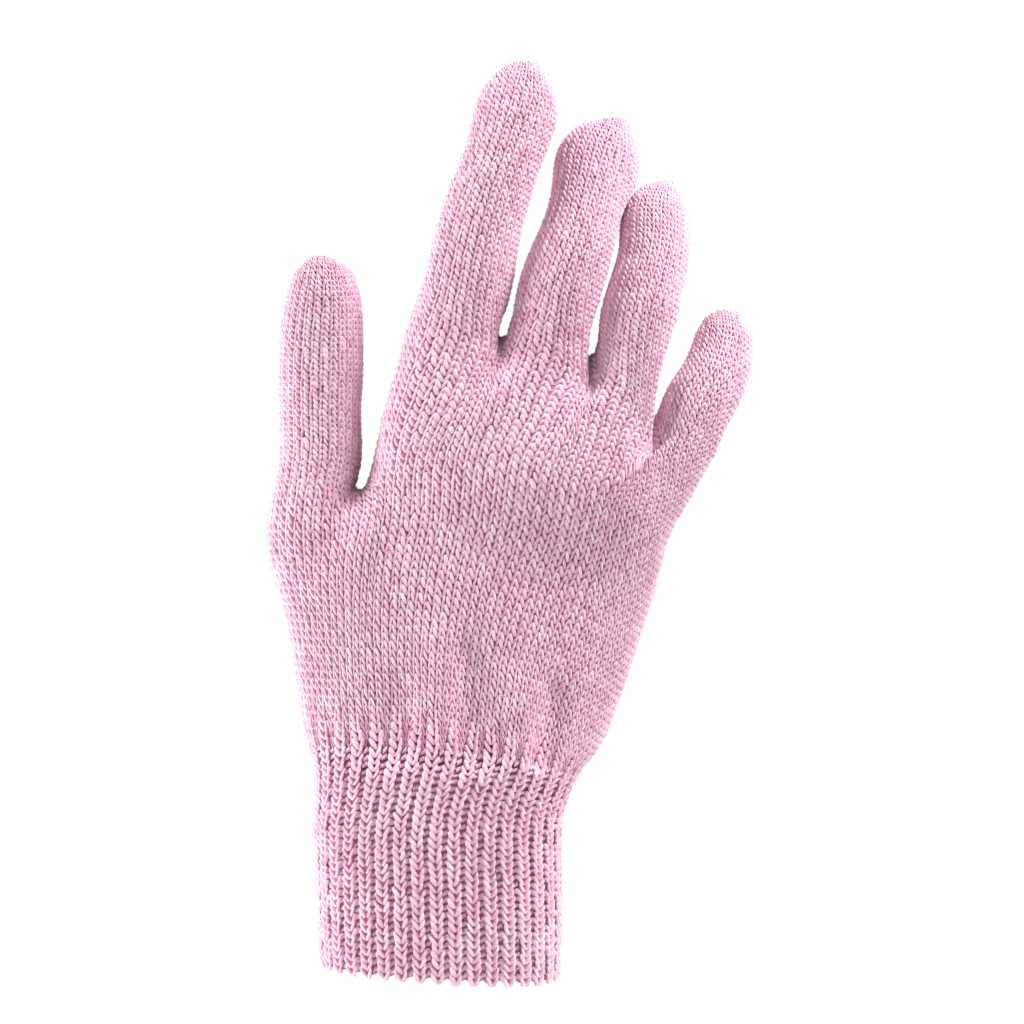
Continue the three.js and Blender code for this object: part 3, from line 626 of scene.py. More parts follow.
def knit_legs(cloth, wales, courses, random, leg, sink):
    """Half tubes of yarn, one for each stitch: places, and a tone for each."""
    count = len(wales)
    wales = wales + random.normal(0.0, PLACE_SPREAD, count)
    courses = courses + random.normal(0.0, PLACE_SPREAD, count)
    lean = random.normal(0.0, LEAN_SPREAD, count)
    plump = 1.0 + random.normal(0.0, PLUMP_SPREAD, count)
    lift = random.normal(0.0, LIFT_SPREAD, count) - sink
    # Sunk stitches get a darker tone as painted shade
    tones = leg.tone - SINK_PAINTED_SHADE * sink + random.normal(0.0, TONE_SPREAD, count)

    # The leg's run, and its side way square to it in metres
    width, height = cloth.pitches(wales + 0.5, courses + 0.5)
    narrow = np.minimum(width, WIDEST_STITCH)
    run_across = (leg.end_across - leg.start_across + lean) * width
    run_along = (leg.end_along - leg.start_along) * height
    run = np.hypot(run_across, run_along)
    side = TURN_SIDE * LEG_WIDTHS * each(leg.half_width * narrow * plump)
    across = mix(leg.start_across, leg.end_across + each(lean), LEG_RINGS)
    across = across + leg.bow * np.sin(math.pi * LEG_RINGS) + side * each(run_along / run / width)
    along = mix(leg.start_along, leg.end_along, LEG_RINGS) - side * each(run_across / run / height)

    scale = np.clip(narrow / USUAL_STITCH, LEAST_DIP, MOST_DIP)
    crest = leg.top + each(lift) - LEG_DIPS * each(scale)
    heights = LEG_FOOT + (crest - LEG_FOOT) * TURN_RISE ** LEG_ROUNDNESS
    place, normal = cloth.at(each(wales) + across, each(courses) + along)
    places = place + normal * heights[..., None]
    keep = (width > NARROWEST_STITCH) & (height > SHORTEST_STITCH)
    return places[keep], tones[keep]


def every_stitch(first_wale, last_wale, first_course, last_course):
    wales, courses = np.meshgrid(np.arange(first_wale, last_wale), np.arange(first_course, last_course))
    return wales.ravel().astype(float), courses.ravel().astype(float)


def knitted(cloth, wales, courses, random, sink=0.0, legs=(LEFT_LEG, RIGHT_LEG)):
    """Both legs of every stitch."""
    left, right = [knit_legs(cloth, wales, courses, random, leg, sink) for leg in legs]
    return np.concatenate([left[0], right[0]]), np.concatenate([left[1], right[1]])


def knitted_halves(cloth, wales, courses, random, sinks):
    """The stitches around the hand: those on its front, and those on its back."""
    front = wales + 0.5 < LEVEL_RIGHT
    return [knitted(cloth, wales[half], courses[half], random, sinks[half]) for half in (front, ~front)]


def knitted_patch(places, directions, wale_count, course_count, random):
    """Every stitch of a small open grid, with wales and courses shared out by length."""
    wales = spread_wales(places, [(0, 0.0), (places.shape[1] - 1, float(wale_count))])
    patch = Cloth(places, directions, spread_courses(places, 0.0, course_count), wales, False)
    return knitted(patch, *every_stitch(0, wale_count, 0, course_count), random)


def tuft(place, outward, random, count):
    """Loose ends of yarn where the seam of a fingertip ends: short bent half tubes around one place."""
    turn = random.uniform(0.0, 2 * math.pi, count)
    first = unit(np.cross(outward, TUFT_ASIDE))
    second = np.cross(outward, first)
    ahead = np.cos(turn)[:, None] * first + np.sin(turn)[:, None] * second
    aside = np.cross(outward, ahead)
    middle = place + random.normal(0.0, TUFT_SPREAD, (count, 1)) * first
    middle = middle + random.normal(0.0, TUFT_SPREAD, (count, 1)) * second
    run = (LEG_RINGS - 0.5) * TUFT_LENGTH
    rise = TUFT_RISE * (np.sin(math.pi * LEG_RINGS) - 1.0)
    line = middle[:, None] + run * ahead[:, None] + rise * outward
    around = TURN_SIDE[:, None] * each(aside) + (TUFT_CREST * TURN_RISE[:, None] - TUFT_SINK) * outward
    around = TUFT_RADIUS * LEG_WIDTHS[..., None] * around
    return line[:, :, None] + around, random.normal(TUFT_TONE, TONE_SPREAD, count)


def tube_piece(name, node, material, parts):
    """One object from many half tubes of yarn."""
    places = np.concatenate([part[0] for part in parts])
    tones = np.concatenate([part[1] for part in parts])
    count, rings, turns, _ = places.shape
    corner = np.arange(rings * turns).reshape(rings, turns)
    quads = np.stack([corner[:-1, :-1], corner[:-1, 1:], corner[1:, 1:], corner[1:, :-1]], axis=-1)
    starts = np.arange(count)[:, None, None] * rings * turns
    quads = (quads.reshape(-1, 4)[None] + starts).reshape(-1, 4)
    ring_of = np.tile(np.repeat(np.linspace(0, 1, rings), turns), count)
    turn_of = np.tile(np.linspace(0, 1, turns), rings * count)
    layout = np.stack([ring_of[quads], turn_of[quads]], axis=-1)
    tone = np.repeat(tones, rings * turns)
    mesh_piece(name, node, material, places.reshape(-1, 3), quads, layout, tone)


def mesh_piece(name, node, material, points, quads, layout=None, tone=None):
    """One object of the glove, in place of a CAD node."""
    mesh = bpy.data.meshes.new(name)
    mesh.vertices.add(len(points))
    mesh.vertices.foreach_set("co", points.ravel())
    mesh.loops.add(quads.size)
    mesh.loops.foreach_set("vertex_index", quads.ravel().astype(np.int32))
    mesh.polygons.add(len(quads))
    mesh.polygons.foreach_set("loop_start", np.arange(0, quads.size, 4, dtype=np.int32))
    mesh.polygons.foreach_set("use_smooth", np.ones(len(quads), dtype=bool))
    if layout is not None:
        mesh.uv_layers.new(name="yarn").data.foreach_set("uv", layout.ravel())
    if tone is not None:
        mesh.attributes.new("tone", "FLOAT", "POINT").data.foreach_set("value", tone.astype(np.float32))
    mesh.update(calc_edges=True)
    mesh.materials.append(material)
    piece = bpy.data.objects.new(name, mesh)
    bpy.context.collection.objects.link(piece)
    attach(piece, "root")
    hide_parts(node)


def backing_piece(name, node, material, points, normals, faces):
    """The closed layer of cloth behind the stitches, coloured dark as painted shade in the gaps between them.
    """
    used, compact = np.unique(faces, return_inverse=True)
    faces = compact.reshape(-1, 4)
    above_join = points[used, 2] - table_value(JOIN_LINE, points[used, 0])
    depth = BACKING_DEPTH + JOIN_BACKING_DEPTH * (1.0 - smooth_step(above_join / JOIN_BACKING_RISE))
    outer = points[used] - normals[used] * depth[:, None]
    inner = points[used] - normals[used] * INNER_DEPTH
    starts = faces.ravel()
    ends = np.roll(faces, -1, axis=1).ravel()
    directed = set(zip(starts.tolist(), ends.tolist()))
    border = np.array([[a, b] for a, b in directed if (b, a) not in directed])
    count = len(outer)
    quads = [faces, faces[:, ::-1] + count]
    if len(border):
        border = border[np.lexsort((border[:, 1], border[:, 0]))]
        start, end = border[:, 0], border[:, 1]
        quads.append(np.stack([end, start, start + count, end + count], axis=1))
    mesh_piece(name, node, material, np.concatenate([outer, inner]), np.concatenate(quads))


# Wales around the hand, counted from the index finger's front left corner
FACE = 7
FINGER_STEP = 9
FINGER_WALES = 28
LEVEL_RIGHT = 37.5
LEVEL_LEFT = -3.5
THUMB_START = -11
THUMB_END = THUMB_START + FACE
LOWER_LEFT = -14.5
LOWER_WALES = 2 * (LEVEL_RIGHT - LOWER_LEFT)

# At the thumb's level, by place across the hand: the wale, and the course counted from where the ribs end
LEVEL_SPREAD = [
    (-0.0154, 0.0), (0.0055, 8.9), (0.0210, 15.4), (0.0362, 22.3), (0.0515, 30.4), (0.0596, 37.5)]
LEVEL_COURSES = [
    (-0.0193, 33.0), (-0.010, 34.0), (0.005, 35.3), (0.020, 37.0), (0.036, 36.8), (0.052, 37.3),
    (0.0596, 37.6)]
ROOT_COURSES = {
    "thumb": 30.6, "index_finger": 55.8, "middle_finger": 56.0, "ring_finger": 54.9, "little_finger": 54.2}
ROOT_COURSE_HEIGHT = 0.0017

# First wale, end of wales, first course and end of courses among which the hand's stitches are chosen
LOWER_STITCHES = (-14, 90, 0, 39)
UPPER_STITCHES = (-3, 79, 31, 60)
WEB_WALES = [4, 2, 2, 2]
WEB_COURSES = 8
CORNER_COURSES = 4
CORNER_REACH = 0.94
CORNER_MARGIN = 1e-6

# Faces of the cage between the thumb's side and the first point of the row at the thumb's level
THUMB_FACES = 4
INDEX_FACES = 1

# Where the ribs end: place across the hand and height
JOIN_LINE = [
    (-0.034, 0.0575), (-0.010, 0.0580), (0.005, 0.0565), (0.015, 0.0545), (0.025, 0.0520), (0.032, 0.0490),
    (0.038, 0.0455)]
HAND_LEVELS_BELOW = np.arange(0.042, 0.0515, 0.001)
HAND_JOIN_ROW = 8
CUFF_JOIN_ROW = 40

# The ribs, as shares of one rib and in courses
KNIT_RIB_SHARE = 0.96
KNIT_RIB_SHARE_AT_JOIN = 0.74
FURROW_START = 0.33
FURROW_SLOPE = 0.16
RIB_FADE_COURSES = 6.0
RIB_OVERLAP = 1.5
RIB_SPARE_COURSES = 3
RIB_SINK = 0.0007
CUFF_RISE = 0.0010
CUFF_SOFTNESS = 0.002
RIM_SCALLOP = 0.0009
FINE_PER_RIB = 16
CUFF_ROWS = 52
QUARTER_TURN = 0.25

# The bars of yarn across the furrows, from end to end: place in ribs, climb and half width in courses
PURL_ENDS = np.array([0.41, 0.47, 0.53, 0.59])[:, None]
PURL_CLIMB = np.array([0.30, 0.48, 0.68, 0.88])[:, None]
PURL_WIDTHS = np.array([0.32, 0.40, 0.40, 0.32])[:, None]
PURL_TOP = -0.00028
PURL_RISE = 0.0001
PURL_PLACE_SPREAD = 0.012
PURL_COURSE_SPREAD = 0.05
# The bars' tone, a little darker than the rib legs as painted shade in the furrows, and lighter near the join
# where that shade fades
PURL_PAINTED_SHADE_TONE = 0.50
PURL_PAINTED_SHADE_TONE_AT_JOIN = 0.52


def table_value(table, x):
    return np.interp(x, [row[0] for row in table], [row[1] for row in table])


def root_course(name, places):
    """The course of points around a finger's root, by how far they lie up the finger's run."""
    first, second = [np.array(section[:3]) for section in FINGERS[name][0][:2]]
    return ROOT_COURSES[name] + (places - first) @ unit(second - first) / ROOT_COURSE_HEIGHT


def turned(grid):
    """A grid closed around the hand, turned to start at its thumb side."""
    return np.concatenate([grid[:, -1 - FINE_PER_FACE:-1], grid[:, :-FINE_PER_FACE]], axis=1)


def cuff_profile(section, shares):
    """Points spread evenly around a cuff section; share 0 is the middle of the front."""
    half_width = (section.right_x - section.left_x) / 2
    centre = (section.right_x + section.left_x) / 2
    power = 2 / CROSS_SECTION_POWER
    turn = np.linspace(0, 2 * math.pi, PROFILE_SAMPLES + 1)
    x = half_width * np.sign(np.sin(turn)) * np.abs(np.sin(turn)) ** power
    y = -section.half_depth * np.sign(np.cos(turn)) * np.abs(np.cos(turn)) ** power
    lengths = np.concatenate([[0.0], np.cumsum(np.hypot(np.diff(x), np.diff(y)))])
    wanted = np.mod(shares, 1.0) * lengths[-1]
    return np.stack([np.interp(wanted, lengths, x) + centre, np.interp(wanted, lengths, y)], axis=-1)


def cuff_section(z):
    """The cuff's section at a height, softly between the sections above and below it."""
    sections = sorted(CUFF_SECTIONS + [CUFF_RIM])
    heights = [section.z for section in sections]
    shifts = [-CUFF_SOFTNESS, 0.0, CUFF_SOFTNESS]
    sizes = []
    for i in (1, 2, 3):
        values = [section[i] for section in sections]
        sizes.append(np.mean([np.interp(z + shift, heights, values) for shift in shifts]))
    return CuffSection(z, *sizes)


def cuff_rows(shares, levels):
    """Places on the cuff without its ribs, for the given shares around it and heights."""
    places = np.empty((len(levels), len(shares), 3))
    for i, level in enumerate(levels):
        places[i, :, :2] = cuff_profile(cuff_section(level), shares)
        up = 1 - level / CUFF_SECTIONS[0].z
        places[i, :, 2] = level + RIM_SLOPE * places[i, :, 0] * up ** 2 + CUFF_RIM.z * up
    return places


def grid_normals(places):
    """Outward directions of a grid closed around the object."""
    around = np.roll(places[:, :-1], -1, axis=1) - np.roll(places[:, :-1], 1, axis=1)
    around = np.concatenate([around, around[:, :1]], axis=1)
    return unit(np.cross(around, np.gradient(places, axis=0)))


def height_at(places, z):
    """For each column, the row number at which it reaches the height z of that column."""
    rows = np.arange(len(places))
    return np.array([np.interp(z[i], places[:, i, 2], rows) for i in range(places.shape[1])])


def joined_lengths(places, level_row):
    """The length up each column and its value where the ribs end, by the place across in one row."""
    lengths = column_lengths(places)
    rows = height_at(places, table_value(JOIN_LINE, places[level_row, :, 0]))
    at_join = [np.interp(row, np.arange(len(places)), lengths[:, i]) for i, row in enumerate(rows)]
    return lengths, np.array(at_join)


def rib_wales():
    """For each rib, from the thumb side on: its edges as shares around the hand, and the wale it becomes."""
    middles = np.arange(-RIB_COUNT, 2 * RIB_COUNT) / RIB_COUNT + QUARTER_TURN
    carried = np.floor(LOWER_LEFT + middles * LOWER_WALES)
    half = KNIT_RIB_SHARE_AT_JOIN / 2 / RIB_COUNT
    shares = np.stack([middles - half, middles + half], axis=1).ravel()
    wales = np.stack([carried, carried + 1.0], axis=1).ravel()
    return shares, wales, carried


def level_wales(places, side_faces):
    """The wale of each column at the thumb's level, where the lower and the upper hand meet."""
    columns = places.shape[1] - 1
    middle = columns // 2
    start = side_faces * FINE_PER_FACE
    lengths = row_lengths(places)[-1 if side_faces == THUMB_FACES else 0]
    first, last = LEVEL_SPREAD[0][0], LEVEL_SPREAD[-1][0]
    shares = [(x - first) / (last - first) for x, _ in LEVEL_SPREAD]
    wales = [wale for _, wale in LEVEL_SPREAD]
    arcs = [mix(lengths[start], lengths[middle], share) for share in shares]
    arcs += [mix(lengths[columns - start], lengths[middle], share) for share in shares[-2::-1]]
    wales = wales + [2 * LEVEL_RIGHT - wale for wale in wales[-2::-1]]
    if side_faces == THUMB_FACES:
        before = [(0, LOWER_LEFT), (FINE_PER_FACE, THUMB_START), (3 * FINE_PER_FACE, THUMB_END)]
    else:
        before = [(0, LEVEL_LEFT)]
    arcs = [lengths[column] for column, _ in before] + arcs
    arcs += [lengths[columns - column] for column, _ in before[::-1]]
    wales = [wale for _, wale in before] + wales + [2 * LEVEL_RIGHT - wale for _, wale in before[::-1]]
    return np.interp(lengths, arcs, wales)


def lower_hand(grids, points):
    """The cloth of the hand from the ribs to the thumb's level, and the course at which each column ends."""
    hand = points[turned(grids["lower"])]
    ring = row_lengths(hand[:1])[0]
    below = cuff_rows(ring / ring[-1] - QUARTER_TURN, HAND_LEVELS_BELOW)
    places = np.concatenate([below, hand])
    columns = np.arange(places.shape[1])
    from_thumb = np.minimum(columns, columns[::-1]) / FINE_PER_FACE
    level_share = np.clip(from_thumb - (THUMB_FACES - 1), 0.0, 1.0)
    last = mix(root_course("thumb", hand[-1]), table_value(LEVEL_COURSES, hand[-1][:, 0]), level_share)
    lengths, at_join = joined_lengths(places, HAND_JOIN_ROW)
    courses = (lengths - at_join) / (lengths[-1] - at_join) * last

    # Wales follow the ribs, then run evenly, then lead to the fingers
    middle = places.shape[1] // 2
    arcs = row_lengths(places)
    shares = np.array([np.interp(row, [0.0, row[middle], row[-1]], [0.0, 0.5, 1.0]) for row in arcs])
    rib_shares, carried_wales, carried = rib_wales()
    ribbed = np.interp(shares, rib_shares, carried_wales)
    wales = mix(ribbed, LOWER_LEFT + shares * LOWER_WALES, smooth_step(courses / RIB_FADE_COURSES))
    wales = mix(wales, level_wales(hand, THUMB_FACES)[None, :], smooth_step(courses / last))
    wales[:, 0], wales[:, -1] = LOWER_LEFT, LOWER_LEFT + LOWER_WALES
    return Cloth(places, grid_normals(places), courses, wales, True), last, carried


def upper_hand(grids, points, normals):
    """The cloth from the thumb's level to the fingers, with each column's first and last course and wale."""
    grid = turned(grids["upper"])
    places = points[grid]
    columns = places.shape[1] - 1
    anchors = [(0, LEVEL_LEFT)]
    for finger in range(len(UPPER_FINGERS)):
        face = 1 + 3 * finger
        wale = finger * FINGER_STEP
        anchors += [(face * FINE_PER_FACE, wale), ((face + 2) * FINE_PER_FACE, wale + FACE)]
    anchors.append((columns // 2, LEVEL_RIGHT))
    anchors += [(columns - column, 2 * LEVEL_RIGHT - wale) for column, wale in anchors[-2::-1]]
    roots = places[-1]
    number = np.arange(columns + 1)
    column = np.minimum(number, columns - number) / FINE_PER_FACE
    last = np.zeros(len(roots))
    for finger, name in enumerate(UPPER_FINGERS):
        centre = 2 + 3 * finger
        weight = np.clip(2.0 - np.abs(column - centre), 0.0, 1.0)
        if finger == 0:
            weight = np.where(column < centre, 1.0, weight)
        if finger == len(UPPER_FINGERS) - 1:
            weight = np.where(column > centre, 1.0, weight)
        last += weight * root_course(name, roots)
    first = table_value(LEVEL_COURSES, places[0, :, 0])
    courses = spread_courses(places, first, last)
    led = smooth_step((courses - first) / (last - first))
    wales = mix(level_wales(places, INDEX_FACES)[None, :], spread_wales(roots[None], anchors), led)
    return Cloth(places, normals[grid], courses, wales, True), first, last, wales[0], wales[-1]


def finger_cloth(name, grid, points, normals):
    """A finger's cloth, the courses and wales of its root, and the course of its last ring."""
    places = points[grid]
    to_second = np.linalg.norm(places[FINE_PER_FACE].mean(axis=0) - places[0, ::FINE_PER_FACE].mean(axis=0))
    second = ROOT_COURSES[name] + to_second / FINGER_COURSE
    last = round(second + column_lengths(places[FINE_PER_FACE:])[-1].mean() / FINGER_COURSE)
    root = root_course(name, places[0])
    first = spread_courses(places[:FINE_PER_FACE + 1], root, second)
    rest = spread_courses(places[FINE_PER_FACE:], second, last)
    courses = np.concatenate([first, rest[1:]])
    wales = spread_wales(places, [(2 * side * FINE_PER_FACE, side * float(FACE)) for side in range(5)])
    return Cloth(places, normals[grid], courses, wales, True), root, wales[0], last


def corner_grid(field):
    """The side of a fingertip as a grid that runs from the last ring to one end of the seam."""
    size = len(field) - 1
    ends = np.linspace(0.0, 2.0, 2 * FINE_PER_FACE + 1)
    way = np.linspace(0.0, CORNER_REACH, FINE_PER_FACE + 1)[:, None]
    first = np.minimum(ends, 1.0)[None, :]
    second = np.maximum(ends - 1.0, 0.0)[None, :]
    columns = np.clip(first * (1.0 - way) * size, 0, size - CORNER_MARGIN)
    rows = np.clip((second + (1.0 - second) * way) * size, 0, size - CORNER_MARGIN)
    return between(field, columns, rows)


def rib_height(rib_shares):
    """From 1 on a knit rib to -1 in the furrow between two ribs."""
    away = np.abs(np.mod(rib_shares + 0.5, 1.0) - 0.5)
    return 1.0 - 2.0 * smooth_step((away - FURROW_START) / FURROW_SLOPE)


def nearness_to_join(courses):
    """From 0 on the cuff to 1 where its ribs end."""
    return smooth_step((courses - CUFF_COURSES + RIB_FADE_COURSES) / RIB_FADE_COURSES)


class RibCloth(Cloth):
    """The cuff's cloth, counted in ribs around it and in courses up from its rim."""

    def __init__(self, grids, points):
        shares = np.arange(RIB_COUNT * FINE_PER_RIB + 1) / FINE_PER_RIB / RIB_COUNT
        levels = np.arange(CUFF_ROWS) / CUFF_ROWS * CUFF_SECTIONS[0].z
        hand = points[turned(grids["lower"])][:2 * FINE_PER_FACE]
        rows = []
        for row in hand:
            lengths = row_lengths(row[None])[0]
            halves = [0.0, lengths[len(lengths) // 2], lengths[-1]]
            wanted = np.interp(np.mod(shares + QUARTER_TURN, 1.0), [0.0, 0.5, 1.0], halves)
            rows.append(np.stack([np.interp(wanted, lengths, row[:, axis]) for axis in range(3)], axis=-1))
        places = np.concatenate([cuff_rows(shares, levels), np.array(rows)])
        lengths, at_join = joined_lengths(places, CUFF_JOIN_ROW)
        courses_at = lengths / at_join * CUFF_COURSES

        # The ribs rise from the cloth and fade out where the hand begins
        height = rib_height(shares * RIB_COUNT)[None, :]
        fade = smooth_step((CUFF_COURSES + RIB_OVERLAP - courses_at) / RIB_FADE_COURSES)
        self.plain = places
        places = places + grid_normals(places) * (height * CUFF_RISE / 2 * fade)[..., None]
        up = np.clip(1 - courses_at / CUFF_COURSES, 0, 1)
        places[..., 2] -= RIM_SCALLOP / 2 * height * up ** 4
        self.surface = places
        self.surface_normals = grid_normals(places)
        self.course_start = -1.0
        count = (CUFF_COURSES + RIB_SPARE_COURSES) * FINE_PER_STITCH + 1
        courses = np.arange(count) / FINE_PER_STITCH + self.course_start
        self.places = resample_rows(places, courses_at, courses)
        self.normals = unit(resample_rows(self.surface_normals, courses_at, courses))
        self.wale_start = 0.0
        self.closed = True

    def at(self, wales, courses):
        return super().at(wales * FINE_PER_RIB / FINE_PER_STITCH, courses)


class RibWales:
    """The knit columns of the ribs: one wale for each rib."""

    def __init__(self, cloth):
        self.cloth = cloth

    def share(self, courses):
        return mix(KNIT_RIB_SHARE, KNIT_RIB_SHARE_AT_JOIN, nearness_to_join(courses))

    def at(self, wales, courses):
        whole = np.floor(wales[:, :1, :1]) if wales.ndim == 3 else np.floor(wales)
        return self.cloth.at(whole + (wales - whole - 0.5) * self.share(courses), courses)

    def pitches(self, wales, courses):
        width, height = self.cloth.pitches(wales, courses)
        return width * self.share(courses), height


def purl_bars(cloth, random):
    """The bars of yarn that cross the furrows, one for each course, and their tones, painted darker than the
    ribs as shade in the furrows.
    """
    ribs, courses = every_stitch(0, RIB_COUNT, 0, CUFF_COURSES)
    count = len(ribs)
    ribs = ribs + random.normal(0.0, PURL_PLACE_SPREAD, count)
    courses = courses + random.normal(0.0, PURL_COURSE_SPREAD, count)
    nearness = nearness_to_join(courses)
    along = each(courses) + PURL_CLIMB + TURN_SIDE * PURL_WIDTHS
    across = np.broadcast_to(each(ribs) + PURL_ENDS, along.shape)
    lift = random.normal(0.0, LIFT_SPREAD, count) + PURL_RISE * nearness
    heights = LEG_FOOT + (PURL_TOP - LEG_FOOT) * TURN_RISE + each(lift)
    place, normal = cloth.at(across, along)
    tones = mix(PURL_PAINTED_SHADE_TONE, PURL_PAINTED_SHADE_TONE_AT_JOIN, nearness) + random.normal(0.0, TONE_SPREAD, count)
    return place + normal * heights[..., None], tones


def grid_quads(numbers):
    """Faces between the points of a grid that closes around the object."""
    after = np.roll(numbers, -1, axis=1)
    return np.stack([numbers[:-1], after[:-1], after[1:], numbers[1:]], axis=-1).reshape(-1, 4)


def rim_quads(outer_row, inner_row):
    """Faces that close the gap between the ends of two grids."""
    return np.stack([outer_row, inner_row, np.roll(inner_row, -1), np.roll(outer_row, -1)], axis=-1)


# Colours of the yarn, from painted shade in its hollows to a painted highlight on its tops, and of the cloth
# behind it, painted dark as the shade between stitches
YARN_COLOURS = [
    (0.0, (0.55, 0.14, 0.30, 1.0)), (0.45, (0.77, 0.41, 0.56, 1.0)), (0.95, (0.94, 0.73, 0.82, 1.0))]
# The backing's colours are painted shade: darker than the yarn for the gaps between stitches, darkest between
# its loop-shaped cells
BACKING_PAINTED_SHADE_COLOURS = [(0.1, (0.55, 0.25, 0.37, 1.0)), (0.7, (0.44, 0.14, 0.26, 1.0))]
YARN_TWISTS = 1.7
PLIES_AROUND = 1.6
FIBRE_SCALE = 2600.0
PATCH_SCALE = 260.0
WIDE_SCALE = 45.0
BACKING_FIBRE_SCALE = 1800.0
LOOP_SCALE = (420.0, 420.0, 980.0)

# How strongly each detail changes the yarn's tone, and how high it stands in its bump
FIBRE_SHADE = 0.5
PATCH_SHADE = 0.5
WIDE_SHADE = 0.3
PLY_SHADE = 0.06
# The crest's share paints a highlight along each leg's top and shade at its sides
CREST_PAINTED_SHADING = 0.40
CREST_HIGHLIGHT_SHARPNESS = 3.0
PLY_HEIGHT = 0.35
FIBRE_HEIGHT = 0.9
BACKING_FIBRE_HEIGHT = 0.4


class Nodes:
    """A small helper that builds a material's nodes."""

    def __init__(self, name):
        self.material = bpy.data.materials.new(name)
        self.material.use_nodes = True
        self.tree = self.material.node_tree
        self.tree.nodes.clear()

    def add(self, kind, inputs=None, **settings):
        node = self.tree.nodes.new(kind)
        for key, value in settings.items():
            setattr(node, key, value)
        for key, value in (inputs or {}).items():
            if isinstance(value, bpy.types.NodeSocket):
                self.tree.links.new(value, node.inputs[key])
            else:
                node.inputs[key].default_value = value
        return node

    def ramp(self, source, stops):
        node = self.add("ShaderNodeValToRGB", {"Fac": source})
        ramp = node.color_ramp
        while len(ramp.elements) < len(stops):
            ramp.elements.new(0.5)
        for element, (position, colour) in zip(ramp.elements, stops):
            element.position = position
            element.color = colour
        return node.outputs["Color"]

    def maths(self, operation, first, second):
        return self.add("ShaderNodeMath", {0: first, 1: second}, operation=operation).outputs[0]

    def times(self, source, factor):
        return self.maths("MULTIPLY", source, factor)

    def sway(self, source, strength):
        """How far a value lies from one half, by a strength."""
        return self.times(self.maths("SUBTRACT", source, 0.5), strength)

    def wave(self, source, turn):
        return self.maths("SINE", self.times(source, turn), 0.0)

    def total(self, *values):
        result = values[0]
        for value in values[1:]:
            result = self.maths("ADD", result, value)
        return result

    def noise(self, place, scale, detail, roughness=0.5):
        inputs = {"Vector": place, "Scale": scale, "Detail": detail, "Roughness": roughness}
        return self.add("ShaderNodeTexNoise", inputs).outputs["Fac"]

    def bump(self, height, strength, distance):
        inputs = {"Height": height, "Strength": strength, "Distance": distance}
        return self.add("ShaderNodeBump", inputs).outputs["Normal"]

    def surface(self, inputs):
        """The material, finished with one shader."""
        shader = self.add("ShaderNodeBsdfPrincipled", inputs).outputs["BSDF"]
        self.add("ShaderNodeOutputMaterial", {"Surface": shader})
        return self.material


def yarn_material(name):
    """Soft woollen yarn: twisted plies, fine fuzz and a mottled tone along and between the stitches, with a
    painted highlight along each leg's crest and painted shade at its sides.
    """
    nodes = Nodes(name)
    layout = nodes.add("ShaderNodeUVMap", uv_map="yarn").outputs["UV"]
    place = nodes.add("ShaderNodeTexCoord").outputs["Object"]
    tone = nodes.add("ShaderNodeAttribute", attribute_name="tone").outputs["Fac"]
    parts = nodes.add("ShaderNodeSeparateXYZ", {0: layout}).outputs
    fibres = nodes.noise(place, FIBRE_SCALE, 3.0, 0.7)
    patches = nodes.noise(place, PATCH_SCALE, 2.0, 0.6)
    wide = nodes.noise(place, WIDE_SCALE, 1.0)

    # Plies wind around the leg; its tone is painted paler along its crest as a highlight and darker at its
    # sides as shade
    wound = nodes.total(nodes.times(parts["X"], YARN_TWISTS), nodes.times(parts["Y"], PLIES_AROUND))
    ply = nodes.wave(wound, 2 * math.pi)
    crest = nodes.maths("POWER", nodes.wave(parts["Y"], math.pi), CREST_HIGHLIGHT_SHARPNESS)
    mottle = nodes.total(nodes.sway(patches, PATCH_SHADE), nodes.sway(wide, WIDE_SHADE))
    mottle = nodes.total(mottle, nodes.sway(fibres, FIBRE_SHADE))
    total = nodes.total(tone, mottle, nodes.times(ply, PLY_SHADE), nodes.sway(crest, CREST_PAINTED_SHADING))
    height = nodes.total(nodes.times(ply, PLY_HEIGHT), nodes.times(fibres, FIBRE_HEIGHT))
    return nodes.surface({
        "Base Color": nodes.ramp(total, YARN_COLOURS), "Normal": nodes.bump(height, 0.7, 0.00012),
        "Roughness": 0.92, "Specular IOR Level": 0.18,
        "Sheen Weight": 0.7, "Sheen Roughness": 0.4, "Sheen Tint": (1.0, 0.93, 0.96, 1.0)})


def backing_material():
    """The cloth in the gaps between stitches and inside the glove, painted dark as the shade in those gaps
    and darker still between its loop-shaped cells.
    """
    nodes = Nodes("knit_backing_painted_shade")
    place = nodes.add("ShaderNodeTexCoord").outputs["Object"]
    stretched = nodes.add("ShaderNodeMapping", {"Vector": place, "Scale": LOOP_SCALE}).outputs["Vector"]
    loops = nodes.add("ShaderNodeTexVoronoi", {"Vector": stretched, "Scale": 1.0}, feature="SMOOTH_F1")
    distance = loops.outputs["Distance"]
    fibres = nodes.noise(place, BACKING_FIBRE_SCALE, 3.0)
    height = nodes.maths("SUBTRACT", nodes.times(fibres, BACKING_FIBRE_HEIGHT), distance)
    return nodes.surface({
        "Base Color": nodes.ramp(distance, BACKING_PAINTED_SHADE_COLOURS), "Normal": nodes.bump(height, 0.8, 0.0004),
        "Roughness": 0.95, "Specular IOR Level": 0.1, "Sheen Weight": 0.2, "Sheen Roughness": 0.6})


# The glove's smooth shape and the cloth behind its stitches
random = np.random.default_rng(7)
plain_yarn = yarn_material("plain_yarn")
rib_yarn = yarn_material("rib_yarn")
backing = backing_material()
points, faces, labels, grids, normals = build_surface()
for node in list(FINGERS) + ["hand"]:
    backing_piece("backing_" + node, node, backing, points, normals, faces[labels == node])

